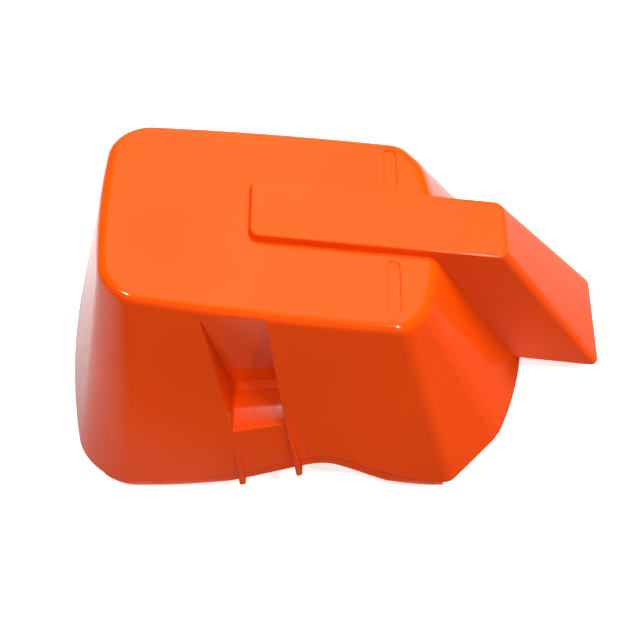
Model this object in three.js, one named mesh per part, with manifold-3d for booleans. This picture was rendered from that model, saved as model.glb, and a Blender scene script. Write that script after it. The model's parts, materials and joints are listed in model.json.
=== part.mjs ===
// Air filter housing for a small engine: a moulded cover with an air-intake hood,
// a base plate with the intake horn and choke slide, the filter stack held by a
// captive wing nut, and two sprung latch arms that hold the cover down.
// Millimetres, +Z up. X runs from the closed end to the intake hood.
import * as THREE from 'three';
import { mergeVertices } from 'three/addons/utils/BufferGeometryUtils.js';
import Module from 'manifold-3d';

// ---------------------------------------------------------------- fits
const CLEARANCE = 0.3; // between pieces that touch
const RUNNING_CLEARANCE = 0.35; // between a pin and what turns on it
const OVERCUT = 5; // how far a cutting tool runs past what it cuts

// ---------------------------------------------------------------- cover
const COVER_WALL = 2.4;
const RIM_LENGTH = 98.5; // straight front edge of the cover's rim
const RIM_WIDTH = 99; // across the rim, front to back
const RIM_LEFT_BOW = 7.5; // how far the closed end bulges past its corners
const RIM_RIGHT_BOW = 8.8;
const RIM_CHAMFER = 13.9; // cut corners at the hood end
const RIM_CORNER_RADIUS = 13;
const RIM_CHAMFER_RADIUS = 4.5;
const TONGUE_DEPTH = 3; // the thin lip that hangs under the front and back walls
const TONGUE_INSET = 0.5;
const TONGUE_ROOT = 1; // how far it runs up inside the wall
const TONGUE_START = 4; // from the closed end of the straight rim
const TONGUE_END_MARGIN = 1.8;
const PLATE_INSET_LEFT = 9.7; // from the rim's corner to the top plate's corner
const PLATE_INSET_RIGHT = 22.4;
const PLATE_WIDTH_LEFT = 51.6;
const PLATE_WIDTH_RIGHT = 57.4;
const PLATE_LEFT_BOW = 1.8;
const PLATE_RIGHT_BOW = 3.2;
const PLATE_SIDE_BOW = 1;
const PLATE_CORNER_RADIUS = 9.5;
const PLATE_CORNER_CUT = 0.8; // share of that radius cut off the corners at the hood end
const COVER_HEIGHT = 60.2; // rim to top plate at the closed end
const PLATE_SLOPE = 0.1655; // fall of the top plate towards the hood
const PLATE_EDGE_REACH = 2.2; // how far its rounded edge reaches each way
const ARCH_HEIGHT = 9.1; // relief in the middle of the front and back rims
const ARCH_PLACE = 64; // its highest point, from the closed end of the straight rim
const ARCH_RUN_LEFT = 45; // from its highest point to where it runs out
const ARCH_RUN_RIGHT = 30;
const ARCH_ROUNDING = 6;
const ARCH_FLARE = 1.6; // power of the curve it rises by
const ARCH_DEPTH = 8; // how far in from the rim's edge it is cut
const STOP_RIB_LENGTH = 7;
const STOP_RIB_THICKNESS = 2.2;
const STOP_RIB_HEIGHT = 16;
const STOP_RIB_PLACES = [12, 91]; // along the rim, from its closed end
const CATCH_DEPTH = 5.2; // rib inside the wall that a latch hooks over
const CATCH_THICKNESS = 2.4;
const CATCH_LENGTH = 13;
const CATCH_HEIGHT = 9; // above the rim

// raised strap on the top plate, running on as the intake hood
const STRAP_RISE = 2.3;
const STRAP_HALF_WIDTH = 8.8;
const STRAP_OFFSET = 2.4; // the strap lies this far behind the plate's middle
const STRAP_START = 45.4; // from the closed end of the straight rim
const STRAP_CORNER_RADIUS = 2.4;
const STRAP_FOOT = 1; // how much longer it is at its foot
const HOOD_REACH = 13.1; // flat top of the hood past the rim's straight edge
const HOOD_MOUTH_REACH = 44.6;
const HOOD_MOUTH_HALF_WIDTH = 15;
const HOOD_MOUTH_HEIGHT = -2; // outer edge of the mouth, above the rim
const HOOD_MOUTH_SLOPE = 0.215;
const HOOD_CORNER_RADIUS = 2.6;
const HOOD_WALL = 2.2;
const HOOD_WALL_SPREAD = 1.2; // the mouth's wall is thicker, being cut on the slant
const HOOD_ROOT = 30; // how far the hood's block runs back into the body
const WINDOW_LOW = 24; // air window in the wall behind the hood, above the rim
const WINDOW_HIGH = 38;

// finger pocket in the front and back walls
const POCKET_PLACE = 50.4; // along the rim, where the pocket's middle line meets it
const POCKET_TILT = 9.6; // degrees its top leans towards the closed end
const POCKET_TOP_WIDTH = 15.6;
const POCKET_LOW_WIDTH = 14.2;
const POCKET_HIGH = 51; // above the rim
const POCKET_FLOOR = 21; // above the rim, where it meets the back wall
const POCKET_FLOOR_FALL = 0.16; // per millimetre outwards
const POCKET_BACK_HIGH = 20.8; // its back wall, in from the rim's edge, at the top
const POCKET_BACK_LOW = 20;
const POCKET_FILLET = 1.8;
const POCKET_LINING = 2;
const RIB_WIDTH = 2.2;
const RIB_PROUD = 1.4;
const RIB_RISE = 3.5; // the ribs start this far above the pocket's floor
const RIB_TIP = 0.08; // share of their size they start from

// shallow witness slots in the top plate, either side of the strap
const SLOT_PLACE = 81.8;
const SLOT_WIDTH = 3.4;
const SLOT_DEPTH = 0.35;
const SLOT_NEAR = 11.4; // from the strap's centre line
const SLOT_FAR_FRONT = 27.2;
const SLOT_FAR_REAR = 24;

// ---------------------------------------------------------------- base
const BASE_THICKNESS = 4;
const BASE_INSET = 3.2; // in from the cover's outer rim
const BASE_RELIEF = 7.5; // inward bow of its front and back edges, under the arches
const RING_HEIGHT = 5;
const RING_WALL = 3;
const FILTER_LENGTH = 76;
const FILTER_WIDTH = 50;
const FILTER_RADIUS = 8;
const FILTER_START = 9; // from the closed end of the straight rim
const GASKET_LENGTH = 48;
const GASKET_WIDTH = 42;
const GASKET_THICKNESS = 1.2;
const GASKET_AHEAD = 18; // from the horn's centre to the gasket's hood end

// intake horn and the choke slide above it
const HORN_BORE = 9; // radius
const HORN_WALL = 2;
const HORN_PLACE = 66; // from the closed end of the straight rim
const SLIDE_THICKNESS = 1.4;
const SLIDE_TIP = 0.5; // how far the closed slide reaches past the bore
const SLIDE_MARGIN = 1.5; // the slide's overlap round the bore
const SLIDE_TRAVEL = 19.5; // the knob stops short of the leaf spring
const SLIDE_END = 50.5; // its outer end when the choke is open, from the middle
const KNOB_WIDTH = 14;
const KNOB_DEPTH = 5;
const KNOB_HEIGHT = 6;
const LEAF_THICKNESS = 0.6;
const LEAF_WIDTH = 5;
const LEAF_OVERHANG = 5.4; // past the slide on each side
const LEAF_LINE = 28.3; // from the middle
const LEAF_SCREW_RADIUS = 1.5;
const LEAF_SCREW_HEAD = 2.6;

// filter stack
const SEAL_THICKNESS = 1.7;
const SEAL_WIDTH = 3;
const FRAME_HEIGHT = 8;
const FRAME_WALL = 2.2;
const FRAME_LEDGE = 2.5;
const FRAME_LEDGE_THICKNESS = 1.6;
const FRAME_BAR = 7;
const SCREEN_THICKNESS = 0.9;
const SCREEN_COLUMNS = 9;
const SCREEN_ROWS = 5;
const SCREEN_BAR = 1.6;
const ELEMENT_HEIGHT = 23;
const ELEMENT_MARGIN = 0.6;
const TOP_PLATE_THICKNESS = 2;
const STUD_RADIUS = 3;
const STUD_PLACE = 36; // from the closed end of the straight rim
const STUD_ABOVE_PLATE = 7;
const BOSS_RADIUS = 7;
const WASHER_RADIUS = 8;
const WASHER_THICKNESS = 1.2;
const NUT_RADIUS = 6;
const NUT_HEIGHT = 7.5;
const WING_SPAN = 26;
const WING_THICKNESS = 3;

// fasteners and small fittings
const SCREW_RADIUS = 2.5;
const SCREW_HEAD_RADIUS = 4.2;
const SCREW_HEAD_HEIGHT = 2.6;
const SCREW_WASHER_RADIUS = 4.8;
const SCREW_WASHER_THICKNESS = 1;
const SCREW_PLACES = [[66, -16.6], [48.5, 15], [20, -8]]; // from the closed end, from the middle
const BREATHER_PLACE = [20, 9];
const BREATHER_RADIUS = 4;
const BREATHER_BORE = 2.5;
const BREATHER_RISE = 4;
const DRAIN_PLACE = [3, 30];
const DRAIN_RADIUS = 3.5;
const DRAIN_LIP = 5;

// latches
const LATCH_WIDTH = 8;
const LATCH_THICKNESS = 2.4;
const LATCH_IN = 14.6; // pin line, in from the rim's edge
const LATCH_PIN_HEIGHT = 5; // above the base plate
const LATCH_PIN_RADIUS = 1.5;
const LATCH_PIN_HEAD = 2.4;
const LATCH_HUB = 3.2;
const LATCH_GRIP = 3; // how far the closed hook reaches over the catch rib
const LATCH_HOOK_THICKNESS = 2.6;
const LATCH_HOOK_TIP = 0.8; // thickness at its point
const LATCH_HOOK_HEEL = 1; // rise over the arm
const LATCH_OPEN = THREE.MathUtils.degToRad(20);
const LATCH_PLACE = 45; // from the closed end of the straight rim
const LUG_THICKNESS = 2.4;
const LUG_WIDTH = 7;
const SPRING_WIRE = 0.35; // radius of the wire
const SPRING_TURNS = 2.5;
const SPRING_PITCH = 0.95;

// ---------------------------------------------------------------- derived places
const RIM_LEFT = -RIM_LENGTH / 2;
const RIM_RIGHT = RIM_LENGTH / 2;
const HALF_WIDTH = RIM_WIDTH / 2;
const RIM_Z = BASE_THICKNESS + TONGUE_DEPTH;
const PLATE_LEFT = RIM_LEFT + PLATE_INSET_LEFT;
const PLATE_RIGHT = RIM_RIGHT + RIM_CHAMFER - PLATE_INSET_RIGHT;
const along = (place) => RIM_LEFT + place;
const plateZ = (x) => RIM_Z + COVER_HEIGHT - PLATE_SLOPE * (x - PLATE_LEFT + PLATE_LEFT_BOW);
const STUD_X = along(STUD_PLACE);
const HORN_X = along(HORN_PLACE);
const RING_TOP = BASE_THICKNESS + RING_HEIGHT;
const SEAL_BOTTOM = RING_TOP + CLEARANCE;
const FRAME_BOTTOM = SEAL_BOTTOM + SEAL_THICKNESS + CLEARANCE;
const SCREEN_BOTTOM = FRAME_BOTTOM + FRAME_LEDGE_THICKNESS + CLEARANCE;
const ELEMENT_BOTTOM = SCREEN_BOTTOM + SCREEN_THICKNESS + CLEARANCE;
const TOP_PLATE_BOTTOM = ELEMENT_BOTTOM + ELEMENT_HEIGHT + CLEARANCE;
const WASHER_BOTTOM = TOP_PLATE_BOTTOM + TOP_PLATE_THICKNESS + CLEARANCE;
const NUT_BOTTOM = WASHER_BOTTOM + WASHER_THICKNESS + CLEARANCE;
const STUD_HOLE = STUD_RADIUS + RUNNING_CLEARANCE;
const catchTop = RIM_Z + CATCH_HEIGHT + CATCH_THICKNESS;
const catchEdge = HALF_WIDTH - COVER_WALL - CATCH_HEIGHT * wallLean(LATCH_PLACE) - CATCH_DEPTH;

// ---------------------------------------------------------------- solids
const wasm = await Module();
wasm.setup();

function toSolid(geometry) {
  const bare = geometry.clone();
  bare.deleteAttribute('normal');
  bare.deleteAttribute('uv');
  const merged = mergeVertices(bare, 1e-4);
  return new wasm.Manifold(new wasm.Mesh({
    numProp: 3,
    vertProperties: new Float32Array(merged.attributes.position.array),
    triVerts: new Uint32Array(merged.index.array),
  }));
}

function toGeometry(solid) {
  const mesh = solid.getMesh();
  const geometry = new THREE.BufferGeometry();
  geometry.setAttribute('position', new THREE.BufferAttribute(new Float32Array(mesh.vertProperties), 3));
  geometry.setIndex(new THREE.BufferAttribute(new Uint32Array(mesh.triVerts), 1));
  geometry.computeVertexNormals();
  return geometry;
}

function box(x0, x1, y0, y1, z0, z1) {
  const geometry = new THREE.BoxGeometry(x1 - x0, y1 - y0, z1 - z0);
  geometry.translate((x0 + x1) / 2, (y0 + y1) / 2, (z0 + z1) / 2);
  return toSolid(geometry);
}

// upright cylinder standing on z0
function post(x, y, radius, z0, z1, sides = 32) {
  const geometry = new THREE.CylinderGeometry(radius, radius, z1 - z0, sides);
  geometry.rotateX(Math.PI / 2);
  geometry.translate(x, y, (z0 + z1) / 2);
  return toSolid(geometry);
}

// cylinder lying along X
function rod(x0, x1, y, z, radius, sides = 20) {
  const geometry = new THREE.CylinderGeometry(radius, radius, x1 - x0, sides);
  geometry.rotateZ(Math.PI / 2);
  geometry.translate((x0 + x1) / 2, y, z);
  return toSolid(geometry);
}

// a profile in (y, z) drawn along X
function drawnAlongX(points, x0, x1) {
  const shape = new THREE.Shape(points.map(([y, z]) => new THREE.Vector2(y, z)));
  const geometry = new THREE.ExtrudeGeometry(shape, { depth: x1 - x0, bevelEnabled: false });
  geometry.rotateY(Math.PI / 2);
  geometry.rotateX(Math.PI / 2);
  geometry.translate(x0, 0, 0);
  return toSolid(geometry);
}

// a plan outline drawn up from z0 to z1
function plate(outline, z0, z1) {
  const shape = new THREE.Shape(outline);
  const geometry = new THREE.ExtrudeGeometry(shape, { depth: z1 - z0, bevelEnabled: false });
  geometry.translate(0, 0, z0);
  return toSolid(geometry);
}

// closed skin through rings of equal length, lowest ring first, rings anticlockwise from above
function loft(rings) {
  const count = rings[0].length;
  const positions = rings.flat().flatMap((p) => [p.x, p.y, p.z]);
  const index = [];
  for (let level = 0; level + 1 < rings.length; level += 1) {
    for (let i = 0; i < count; i += 1) {
      const a = level * count + i;
      const b = level * count + (i + 1) % count;
      index.push(a, b, b + count, a, b + count, a + count);
    }
  }
  const flat = rings[0].map((p) => new THREE.Vector2(p.x, p.y));
  for (const [a, b, c] of THREE.ShapeUtils.triangulateShape(flat, [])) {
    index.push(c, b, a);
  }
  const last = (rings.length - 1) * count;
  const lid = rings[rings.length - 1].map((p) => new THREE.Vector2(p.x, p.y));
  for (const [a, b, c] of THREE.ShapeUtils.triangulateShape(lid, [])) {
    index.push(last + a, last + b, last + c);
  }
  const geometry = new THREE.BufferGeometry();
  geometry.setAttribute('position', new THREE.Float32BufferAttribute(positions, 3));
  geometry.setIndex(index);
  return toSolid(geometry);
}

// ---------------------------------------------------------------- outlines
const CORNER_STEPS = 5;
const EDGE_STEPS = 6;
const PLATE_EDGE_STEPS = 3;
const ARCH_STEPS = 24;

// rounded outline through corners {x, y, radius, bow}; bow bends the edge that follows outwards
function outline(corners, edgeSteps = EDGE_STEPS) {
  const arcs = corners.map((corner, i) => cornerArc(corners, i));
  const points = arcs.flatMap((arc, i) => {
    const last = arc[arc.length - 1];
    const next = arcs[(i + 1) % arcs.length][0];
    const run = [];
    for (let k = 1; k < edgeSteps; k += 1) {
      run.push(last.clone().lerp(next, k / edgeSteps));
    }
    return [...arc, ...run];
  });
  return points.map((point) => bowed(point, corners));
}

function cornerArc(corners, i) {
  const count = corners.length;
  const at = (k) => new THREE.Vector2(corners[(k + count) % count].x, corners[(k + count) % count].y);
  const here = at(i);
  const back = at(i - 1).sub(here).normalize();
  const ahead = at(i + 1).sub(here).normalize();
  const { radius } = corners[i];
  const half = back.angleTo(ahead) / 2;
  const start = here.clone().addScaledVector(back, radius / Math.tan(half));
  const centre = here.clone().addScaledVector(back.clone().add(ahead).normalize(), radius / Math.sin(half));
  const from = Math.atan2(start.y - centre.y, start.x - centre.x);
  const turn = Math.PI - 2 * half;
  const arc = [];
  for (let k = 0; k <= CORNER_STEPS; k += 1) {
    const angle = from + turn * k / CORNER_STEPS;
    arc.push(new THREE.Vector2(Math.cos(angle), Math.sin(angle)).multiplyScalar(radius).add(centre));
  }
  return arc;
}

// move a point outwards by the bow of each edge it lies near
function bowed(point, corners) {
  const moved = point.clone();
  corners.forEach((corner, i) => {
    if (!corner.bow) return;
    const next = corners[(i + 1) % corners.length];
    const edge = new THREE.Vector2(next.x - corner.x, next.y - corner.y);
    const length = edge.length();
    edge.divideScalar(length);
    const outward = new THREE.Vector2(edge.y, -edge.x);
    const offset = new THREE.Vector2(point.x - corner.x, point.y - corner.y);
    const t = THREE.MathUtils.clamp(offset.dot(edge) / length, 0, 1);
    const near = THREE.MathUtils.clamp(1 + 2 * offset.dot(outward) / length, 0, 1);
    moved.addScaledVector(outward, corner.bow * 4 * t * (1 - t) * near ** 2);
  });
  return moved;
}

function rectangle(x0, x1, halfWidth, radius, middle = 0) {
  return outline([
    { x: x0, y: middle - halfWidth, radius },
    { x: x1, y: middle - halfWidth, radius },
    { x: x1, y: middle + halfWidth, radius },
    { x: x0, y: middle + halfWidth, radius },
  ], 1);
}

// how far the ends of a 45 degree chamfer move for each millimetre the outline moves in
const CHAMFER_SHIFT = Math.tan(Math.PI / 8);

// rim of the cover, moved inwards by inset; relief bows its front and back edges inwards
function rimOutline(inset = 0, relief = 0) {
  const left = RIM_LEFT + inset;
  const right = RIM_RIGHT + RIM_CHAMFER - inset;
  const half = HALF_WIDTH - inset;
  const shoulder = RIM_RIGHT - inset * CHAMFER_SHIFT;
  const low = HALF_WIDTH - RIM_CHAMFER - inset * CHAMFER_SHIFT;
  const radius = Math.max(1, RIM_CORNER_RADIUS - inset);
  return outline([
    { x: left, y: -half, radius, bow: -relief },
    { x: shoulder, y: -half, radius: RIM_CHAMFER_RADIUS },
    { x: right, y: -low, radius: RIM_CHAMFER_RADIUS, bow: RIM_RIGHT_BOW },
    { x: right, y: low, radius: RIM_CHAMFER_RADIUS },
    { x: shoulder, y: half, radius: RIM_CHAMFER_RADIUS, bow: -relief },
    { x: left, y: half, radius, bow: RIM_LEFT_BOW },
  ]);
}

// edge of the top plate, with the same number of points as the rim
function plateOutline(inset = 0) {
  const left = PLATE_LEFT + inset;
  const right = PLATE_RIGHT - inset;
  const halfLeft = PLATE_WIDTH_LEFT / 2 - inset;
  const halfRight = PLATE_WIDTH_RIGHT / 2 - inset;
  const radius = PLATE_CORNER_RADIUS - inset;
  const cut = radius / (1 + CHAMFER_SHIFT) * PLATE_CORNER_CUT;
  return outline([
    { x: left, y: -halfLeft, radius, bow: PLATE_SIDE_BOW },
    { x: right - cut, y: -halfRight, radius: cut },
    { x: right, y: -halfRight + cut, radius: cut, bow: PLATE_RIGHT_BOW },
    { x: right, y: halfRight - cut, radius: cut },
    { x: right - cut, y: halfRight, radius: cut, bow: PLATE_SIDE_BOW },
    { x: left, y: halfLeft, radius, bow: PLATE_LEFT_BOW },
  ]);
}

// ---------------------------------------------------------------- cover
// body of the cover from below its rim to its top plate, moved inwards by inset
function coverBody(inset, edgeRadius, bottom) {
  const low = rimOutline(inset).map((p) => new THREE.Vector3(p.x, p.y, RIM_Z));
  const high = plateOutline(inset).map((p) => new THREE.Vector3(p.x, p.y, plateZ(p.x) - inset));
  const middle = high.reduce((sum, p) => sum.add(p), new THREE.Vector3()).divideScalar(high.length);
  middle.z = plateZ(middle.x) - inset;
  const rings = bottom < RIM_Z ? [low.map((p) => new THREE.Vector3(p.x, p.y, bottom)), low] : [low];
  const steps = edgeRadius > 0 ? PLATE_EDGE_STEPS : 0;
  for (let k = 0; k <= steps; k += 1) {
    const turn = steps > 0 ? k / steps : 0;
    rings.push(high.map((corner, i) => {
      const down = low[i].clone().sub(corner).normalize().multiplyScalar(edgeRadius);
      const inward = middle.clone().sub(corner).normalize().multiplyScalar(edgeRadius);
      return corner.clone().addScaledVector(down, (1 - turn) ** 2).addScaledVector(inward, turn ** 2);
    }));
  }
  return loft(rings);
}

// strap and hood as one block, moved inwards by inset
function hoodBlock(inset) {
  const root = RIM_RIGHT - HOOD_ROOT;
  const topEnd = RIM_RIGHT + HOOD_REACH - inset;
  const mouthEnd = RIM_RIGHT + HOOD_MOUTH_REACH - inset * HOOD_WALL_SPREAD;
  const radius = HOOD_CORNER_RADIUS - inset / 2;
  const mouthZ = (x) => RIM_Z + HOOD_MOUTH_HEIGHT + HOOD_MOUTH_SLOPE * (mouthEnd - x);
  const drop = inset > 0 ? OVERCUT : 0;
  const low = rectangle(root, mouthEnd, HOOD_MOUTH_HALF_WIDTH - inset, radius, STRAP_OFFSET)
    .map((p) => new THREE.Vector3(p.x, p.y, mouthZ(p.x) - drop));
  const high = rectangle(root, topEnd, STRAP_HALF_WIDTH - inset, radius, STRAP_OFFSET)
    .map((p) => new THREE.Vector3(p.x, p.y, plateZ(p.x) + STRAP_RISE - inset));
  return loft([low, high]);
}

function strap() {
  const start = along(STRAP_START);
  const ring = (grow, rise) => rectangle(
    start - grow, RIM_RIGHT, STRAP_HALF_WIDTH + grow / 2, STRAP_CORNER_RADIUS, STRAP_OFFSET,
  ).map((p) => new THREE.Vector3(p.x, p.y, plateZ(p.x) + rise));
  return loft([ring(STRAP_FOOT, -COVER_WALL / 2), ring(0, STRAP_RISE)]);
}

// turn a tool that is drawn upright on the rim line about the pocket's own place, and mirror it
function onWall(tool, side) {
  const placed = tool.rotate([0, -POCKET_TILT, 0]).translate([along(POCKET_PLACE), 0, RIM_Z]);
  return side < 0 ? placed : placed.mirror([0, 1, 0]);
}

// finger pocket: leaning back wall and a floor that falls outwards to the wall's face
function pocket(grow) {
  const backLow = -HALF_WIDTH + POCKET_BACK_LOW + grow;
  const outer = -HALF_WIDTH - OVERCUT;
  const floor = (y) => POCKET_FLOOR - grow + POCKET_FLOOR_FALL * (y - backLow);
  const high = POCKET_HIGH + grow + OVERCUT;
  const lean = (POCKET_BACK_HIGH - POCKET_BACK_LOW) / (POCKET_HIGH - POCKET_FLOOR);
  const backAt = (z) => backLow + lean * (z - POCKET_FLOOR);
  const profile = [
    [outer, floor(outer)],
    [backLow - POCKET_FILLET, floor(backLow - POCKET_FILLET)],
    [backLow, floor(backLow) + POCKET_FILLET],
    [backAt(high), high],
    [outer, high],
  ];
  const halfAt = (z) => grow
    + THREE.MathUtils.mapLinear(z, POCKET_FLOOR, POCKET_HIGH, POCKET_LOW_WIDTH / 2, POCKET_TOP_WIDTH / 2);
  const sides = loft([0, high].map((z) => [
    new THREE.Vector3(-halfAt(z), outer, z),
    new THREE.Vector3(halfAt(z), outer, z),
    new THREE.Vector3(halfAt(z), 0, z),
    new THREE.Vector3(-halfAt(z), 0, z),
  ]));
  return drawnAlongX(profile, -POCKET_TOP_WIDTH, POCKET_TOP_WIDTH).intersect(sides);
}

// how far the front and back walls lean inwards for each millimetre they rise
function wallLean(place) {
  const x = along(place);
  const t = (x - PLATE_LEFT) / (PLATE_RIGHT - PLATE_LEFT);
  const plain = THREE.MathUtils.lerp(PLATE_WIDTH_LEFT, PLATE_WIDTH_RIGHT, t) / 2;
  return (HALF_WIDTH - plain - 4 * PLATE_SIDE_BOW * t * (1 - t)) / (plateZ(x) - RIM_Z);
}

// wedge rib that runs from the pocket's lower corner down to the rim
function pocketRib(hand) {
  const wall = (z) => -HALF_WIDTH + z * wallLean(POCKET_PLACE);
  const ring = (z, proud, near, far) => {
    const [x0, x1] = hand > 0 ? [near, far] : [-far, -near];
    return [
      new THREE.Vector3(x0, wall(z) - proud, z),
      new THREE.Vector3(x1, wall(z) - proud, z),
      new THREE.Vector3(x1, wall(z) + COVER_WALL / 2, z),
      new THREE.Vector3(x0, wall(z) + COVER_WALL / 2, z),
    ];
  };
  const near = POCKET_LOW_WIDTH / 2;
  const top = POCKET_FLOOR + RIB_RISE;
  return loft([
    ring(-TONGUE_DEPTH, RIB_PROUD, near, near + RIB_WIDTH),
    ring(top, RIB_PROUD * RIB_TIP, near, near + RIB_WIDTH * RIB_TIP),
  ]);
}

// how far the relief under the front and back rims lifts their edge
function archLift(x) {
  const offset = x - along(ARCH_PLACE);
  const run = offset < 0 ? ARCH_RUN_LEFT : ARCH_RUN_RIGHT;
  const rounded = (d) => Math.hypot(d, ARCH_ROUNDING) - ARCH_ROUNDING;
  return ARCH_HEIGHT * Math.max(0, 1 - rounded(offset) / rounded(run)) ** ARCH_FLARE;
}

// band between two heights over the plain rim, following the relief, with a rounded hood end
function archBand(x0, x1, z0, z1) {
  const lower = [];
  const upper = [];
  for (let k = 0; k <= ARCH_STEPS; k += 1) {
    const x = THREE.MathUtils.lerp(x0, x1, k / ARCH_STEPS);
    lower.push(new THREE.Vector2(x, z0 + (z0 > 0 ? archLift(x) : 0)));
    upper.push(new THREE.Vector2(x, z1 + archLift(x)));
  }
  const shape = new THREE.Shape([...lower, ...upper.reverse()]);
  const geometry = new THREE.ExtrudeGeometry(shape, { depth: RIM_WIDTH + 2 * OVERCUT, bevelEnabled: false });
  geometry.rotateX(Math.PI / 2);
  geometry.translate(0, HALF_WIDTH + OVERCUT, 0);
  const inner = HALF_WIDTH - ARCH_DEPTH;
  return toSolid(geometry).subtract(box(x0 - OVERCUT, x1 + OVERCUT, -inner, inner, -RIM_WIDTH, RIM_WIDTH));
}

// thin lip that hangs inside the front and back walls and follows the relief
function tongue() {
  const end = RIM_RIGHT - TONGUE_END_MARGIN;
  return coverBody(TONGUE_INSET, 0, BASE_THICKNESS)
    .subtract(coverBody(COVER_WALL, 0, -OVERCUT))
    .intersect(archBand(RIM_LEFT + TONGUE_START, end, BASE_THICKNESS, RIM_Z + TONGUE_ROOT));
}

// slots in the top plate, sunk by the same depth everywhere on its slope
function witnessSlots(outer) {
  const x = along(SLOT_PLACE);
  const half = SLOT_WIDTH / 2;
  const far = [STRAP_OFFSET - SLOT_FAR_FRONT, STRAP_OFFSET + SLOT_FAR_REAR];
  return [-1, 1].map((side, i) => {
    const near = STRAP_OFFSET + side * SLOT_NEAR;
    const [y0, y1] = [Math.min(near, far[i]), Math.max(near, far[i])];
    const prism = box(x - half, x + half, y0 + half, y1 - half, RIM_Z, RIM_Z + COVER_HEIGHT)
      .add(post(x, y0 + half, half, RIM_Z, RIM_Z + COVER_HEIGHT, 16))
      .add(post(x, y1 - half, half, RIM_Z, RIM_Z + COVER_HEIGHT, 16));
    return prism.subtract(outer.translate([0, 0, -SLOT_DEPTH]));
  });
}

function coverSolid() {
  const outer = coverBody(0, PLATE_EDGE_REACH, RIM_Z);
  const cavity = coverBody(COVER_WALL, 0, -OVERCUT);
  const hood = hoodBlock(0);
  const hoodCavity = hoodBlock(HOOD_WALL);
  const across = [RIM_RIGHT - HOOD_ROOT, RIM_RIGHT + HOOD_MOUTH_REACH, -RIM_WIDTH, RIM_WIDTH];
  const window = hoodCavity.intersect(box(...across, RIM_Z + WINDOW_LOW, RIM_Z + WINDOW_HIGH));
  let shell = outer.add(hood).add(strap());
  shell = shell.subtract(cavity).subtract(hoodCavity.subtract(outer)).subtract(window);
  for (const slot of witnessSlots(outer)) {
    shell = shell.subtract(slot);
  }
  const below = (z) => archBand(RIM_LEFT - RIM_LENGTH, RIM_RIGHT, -OVERCUT, z);
  shell = shell.subtract(below(RIM_Z)).add(tongue());
  for (const side of [-1, 1]) {
    const opening = onWall(pocket(0), side);
    shell = shell.add(onWall(pocket(POCKET_LINING), side).intersect(outer)).subtract(opening);
    for (const hand of [-1, 1]) {
      shell = shell.add(onWall(pocketRib(hand), side).subtract(below(BASE_THICKNESS)));
    }
    shell = shell.add(catchRib(side).intersect(outer));
    for (const place of STOP_RIB_PLACES) {
      shell = shell.add(stopRib(place, side));
    }
  }
  return shell;
}

// rib on the inside of the wall that the latch arm hooks over
function catchRib(side) {
  const middle = along(LATCH_PLACE);
  const z = RIM_Z + CATCH_HEIGHT;
  const y = side < 0 ? [-HALF_WIDTH, -catchEdge] : [catchEdge, HALF_WIDTH];
  return box(middle - CATCH_LENGTH / 2, middle + CATCH_LENGTH / 2, ...y, z, z + CATCH_THICKNESS);
}

// web that stands on the base plate and carries the cover
function stopRib(place, side) {
  const inner = HALF_WIDTH - COVER_WALL - STOP_RIB_LENGTH;
  const y = side < 0 ? [-HALF_WIDTH, -inner] : [inner, HALF_WIDTH];
  const x = along(place);
  return box(x, x + STOP_RIB_THICKNESS, ...y, BASE_THICKNESS + CLEARANCE, RIM_Z + STOP_RIB_HEIGHT)
    .intersect(coverBody(COVER_WALL / 2, 0, -OVERCUT));
}

// ---------------------------------------------------------------- base
function ringOutline(inset) {
  const x0 = along(FILTER_START) + inset;
  const radius = Math.max(1, FILTER_RADIUS - inset);
  return rectangle(x0, x0 + FILTER_LENGTH - 2 * inset, FILTER_WIDTH / 2 - inset, radius);
}

const SLIDE_HALF = HORN_BORE + SLIDE_MARGIN;
const SLIDE_BOTTOM = BASE_THICKNESS + CLEARANCE;
const SLIDE_TOP = SLIDE_BOTTOM + SLIDE_THICKNESS;

// way through the ring for the choke slide
function slideWay() {
  const half = SLIDE_HALF + CLEARANCE;
  return box(HORN_X - half, HORN_X + half, 0, FILTER_WIDTH, BASE_THICKNESS, SLIDE_TOP + CLEARANCE);
}

// pads either side of the slide that carry its leaf spring
function leafPads() {
  const inner = SLIDE_HALF + CLEARANCE;
  const y = [LEAF_LINE - LEAF_WIDTH / 2, LEAF_LINE + LEAF_WIDTH / 2];
  const z = [BASE_THICKNESS - 1, SLIDE_TOP];
  const pads = box(HORN_X - inner - LEAF_OVERHANG, HORN_X - inner, ...y, ...z)
    .add(box(HORN_X + inner, HORN_X + inner + LEAF_OVERHANG, ...y, ...z));
  return withLeafHoles(pads, 1);
}

// holes for the leaf spring's screws, from bottom upwards
function withLeafHoles(solid, bottom) {
  return leafScrewXs().reduce((cut, x) => cut.subtract(
    post(x, LEAF_LINE, LEAF_SCREW_RADIUS + CLEARANCE, bottom, RING_TOP + OVERCUT, 16),
  ), solid);
}

function leafScrewXs() {
  const reach = SLIDE_HALF + CLEARANCE + LEAF_OVERHANG / 2;
  return [HORN_X - reach, HORN_X + reach];
}

function latchLugs(side) {
  const y = side * (HALF_WIDTH - LATCH_IN);
  const x = along(LATCH_PLACE);
  const z = BASE_THICKNESS + LATCH_PIN_HEIGHT;
  const inner = LATCH_WIDTH / 2 + CLEARANCE;
  let lugs = null;
  for (const hand of [-1, 1]) {
    const x0 = hand > 0 ? x + inner : x - inner - LUG_THICKNESS;
    const lug = box(x0, x0 + LUG_THICKNESS, y - LUG_WIDTH / 2, y + LUG_WIDTH / 2, BASE_THICKNESS - 1, z)
      .add(rod(x0, x0 + LUG_THICKNESS, y, z, LUG_WIDTH / 2));
    lugs = lugs ? lugs.add(lug) : lug;
  }
  return lugs.subtract(rod(x - 2 * LATCH_WIDTH, x + 2 * LATCH_WIDTH, y, z, LATCH_PIN_RADIUS + CLEARANCE));
}

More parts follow.
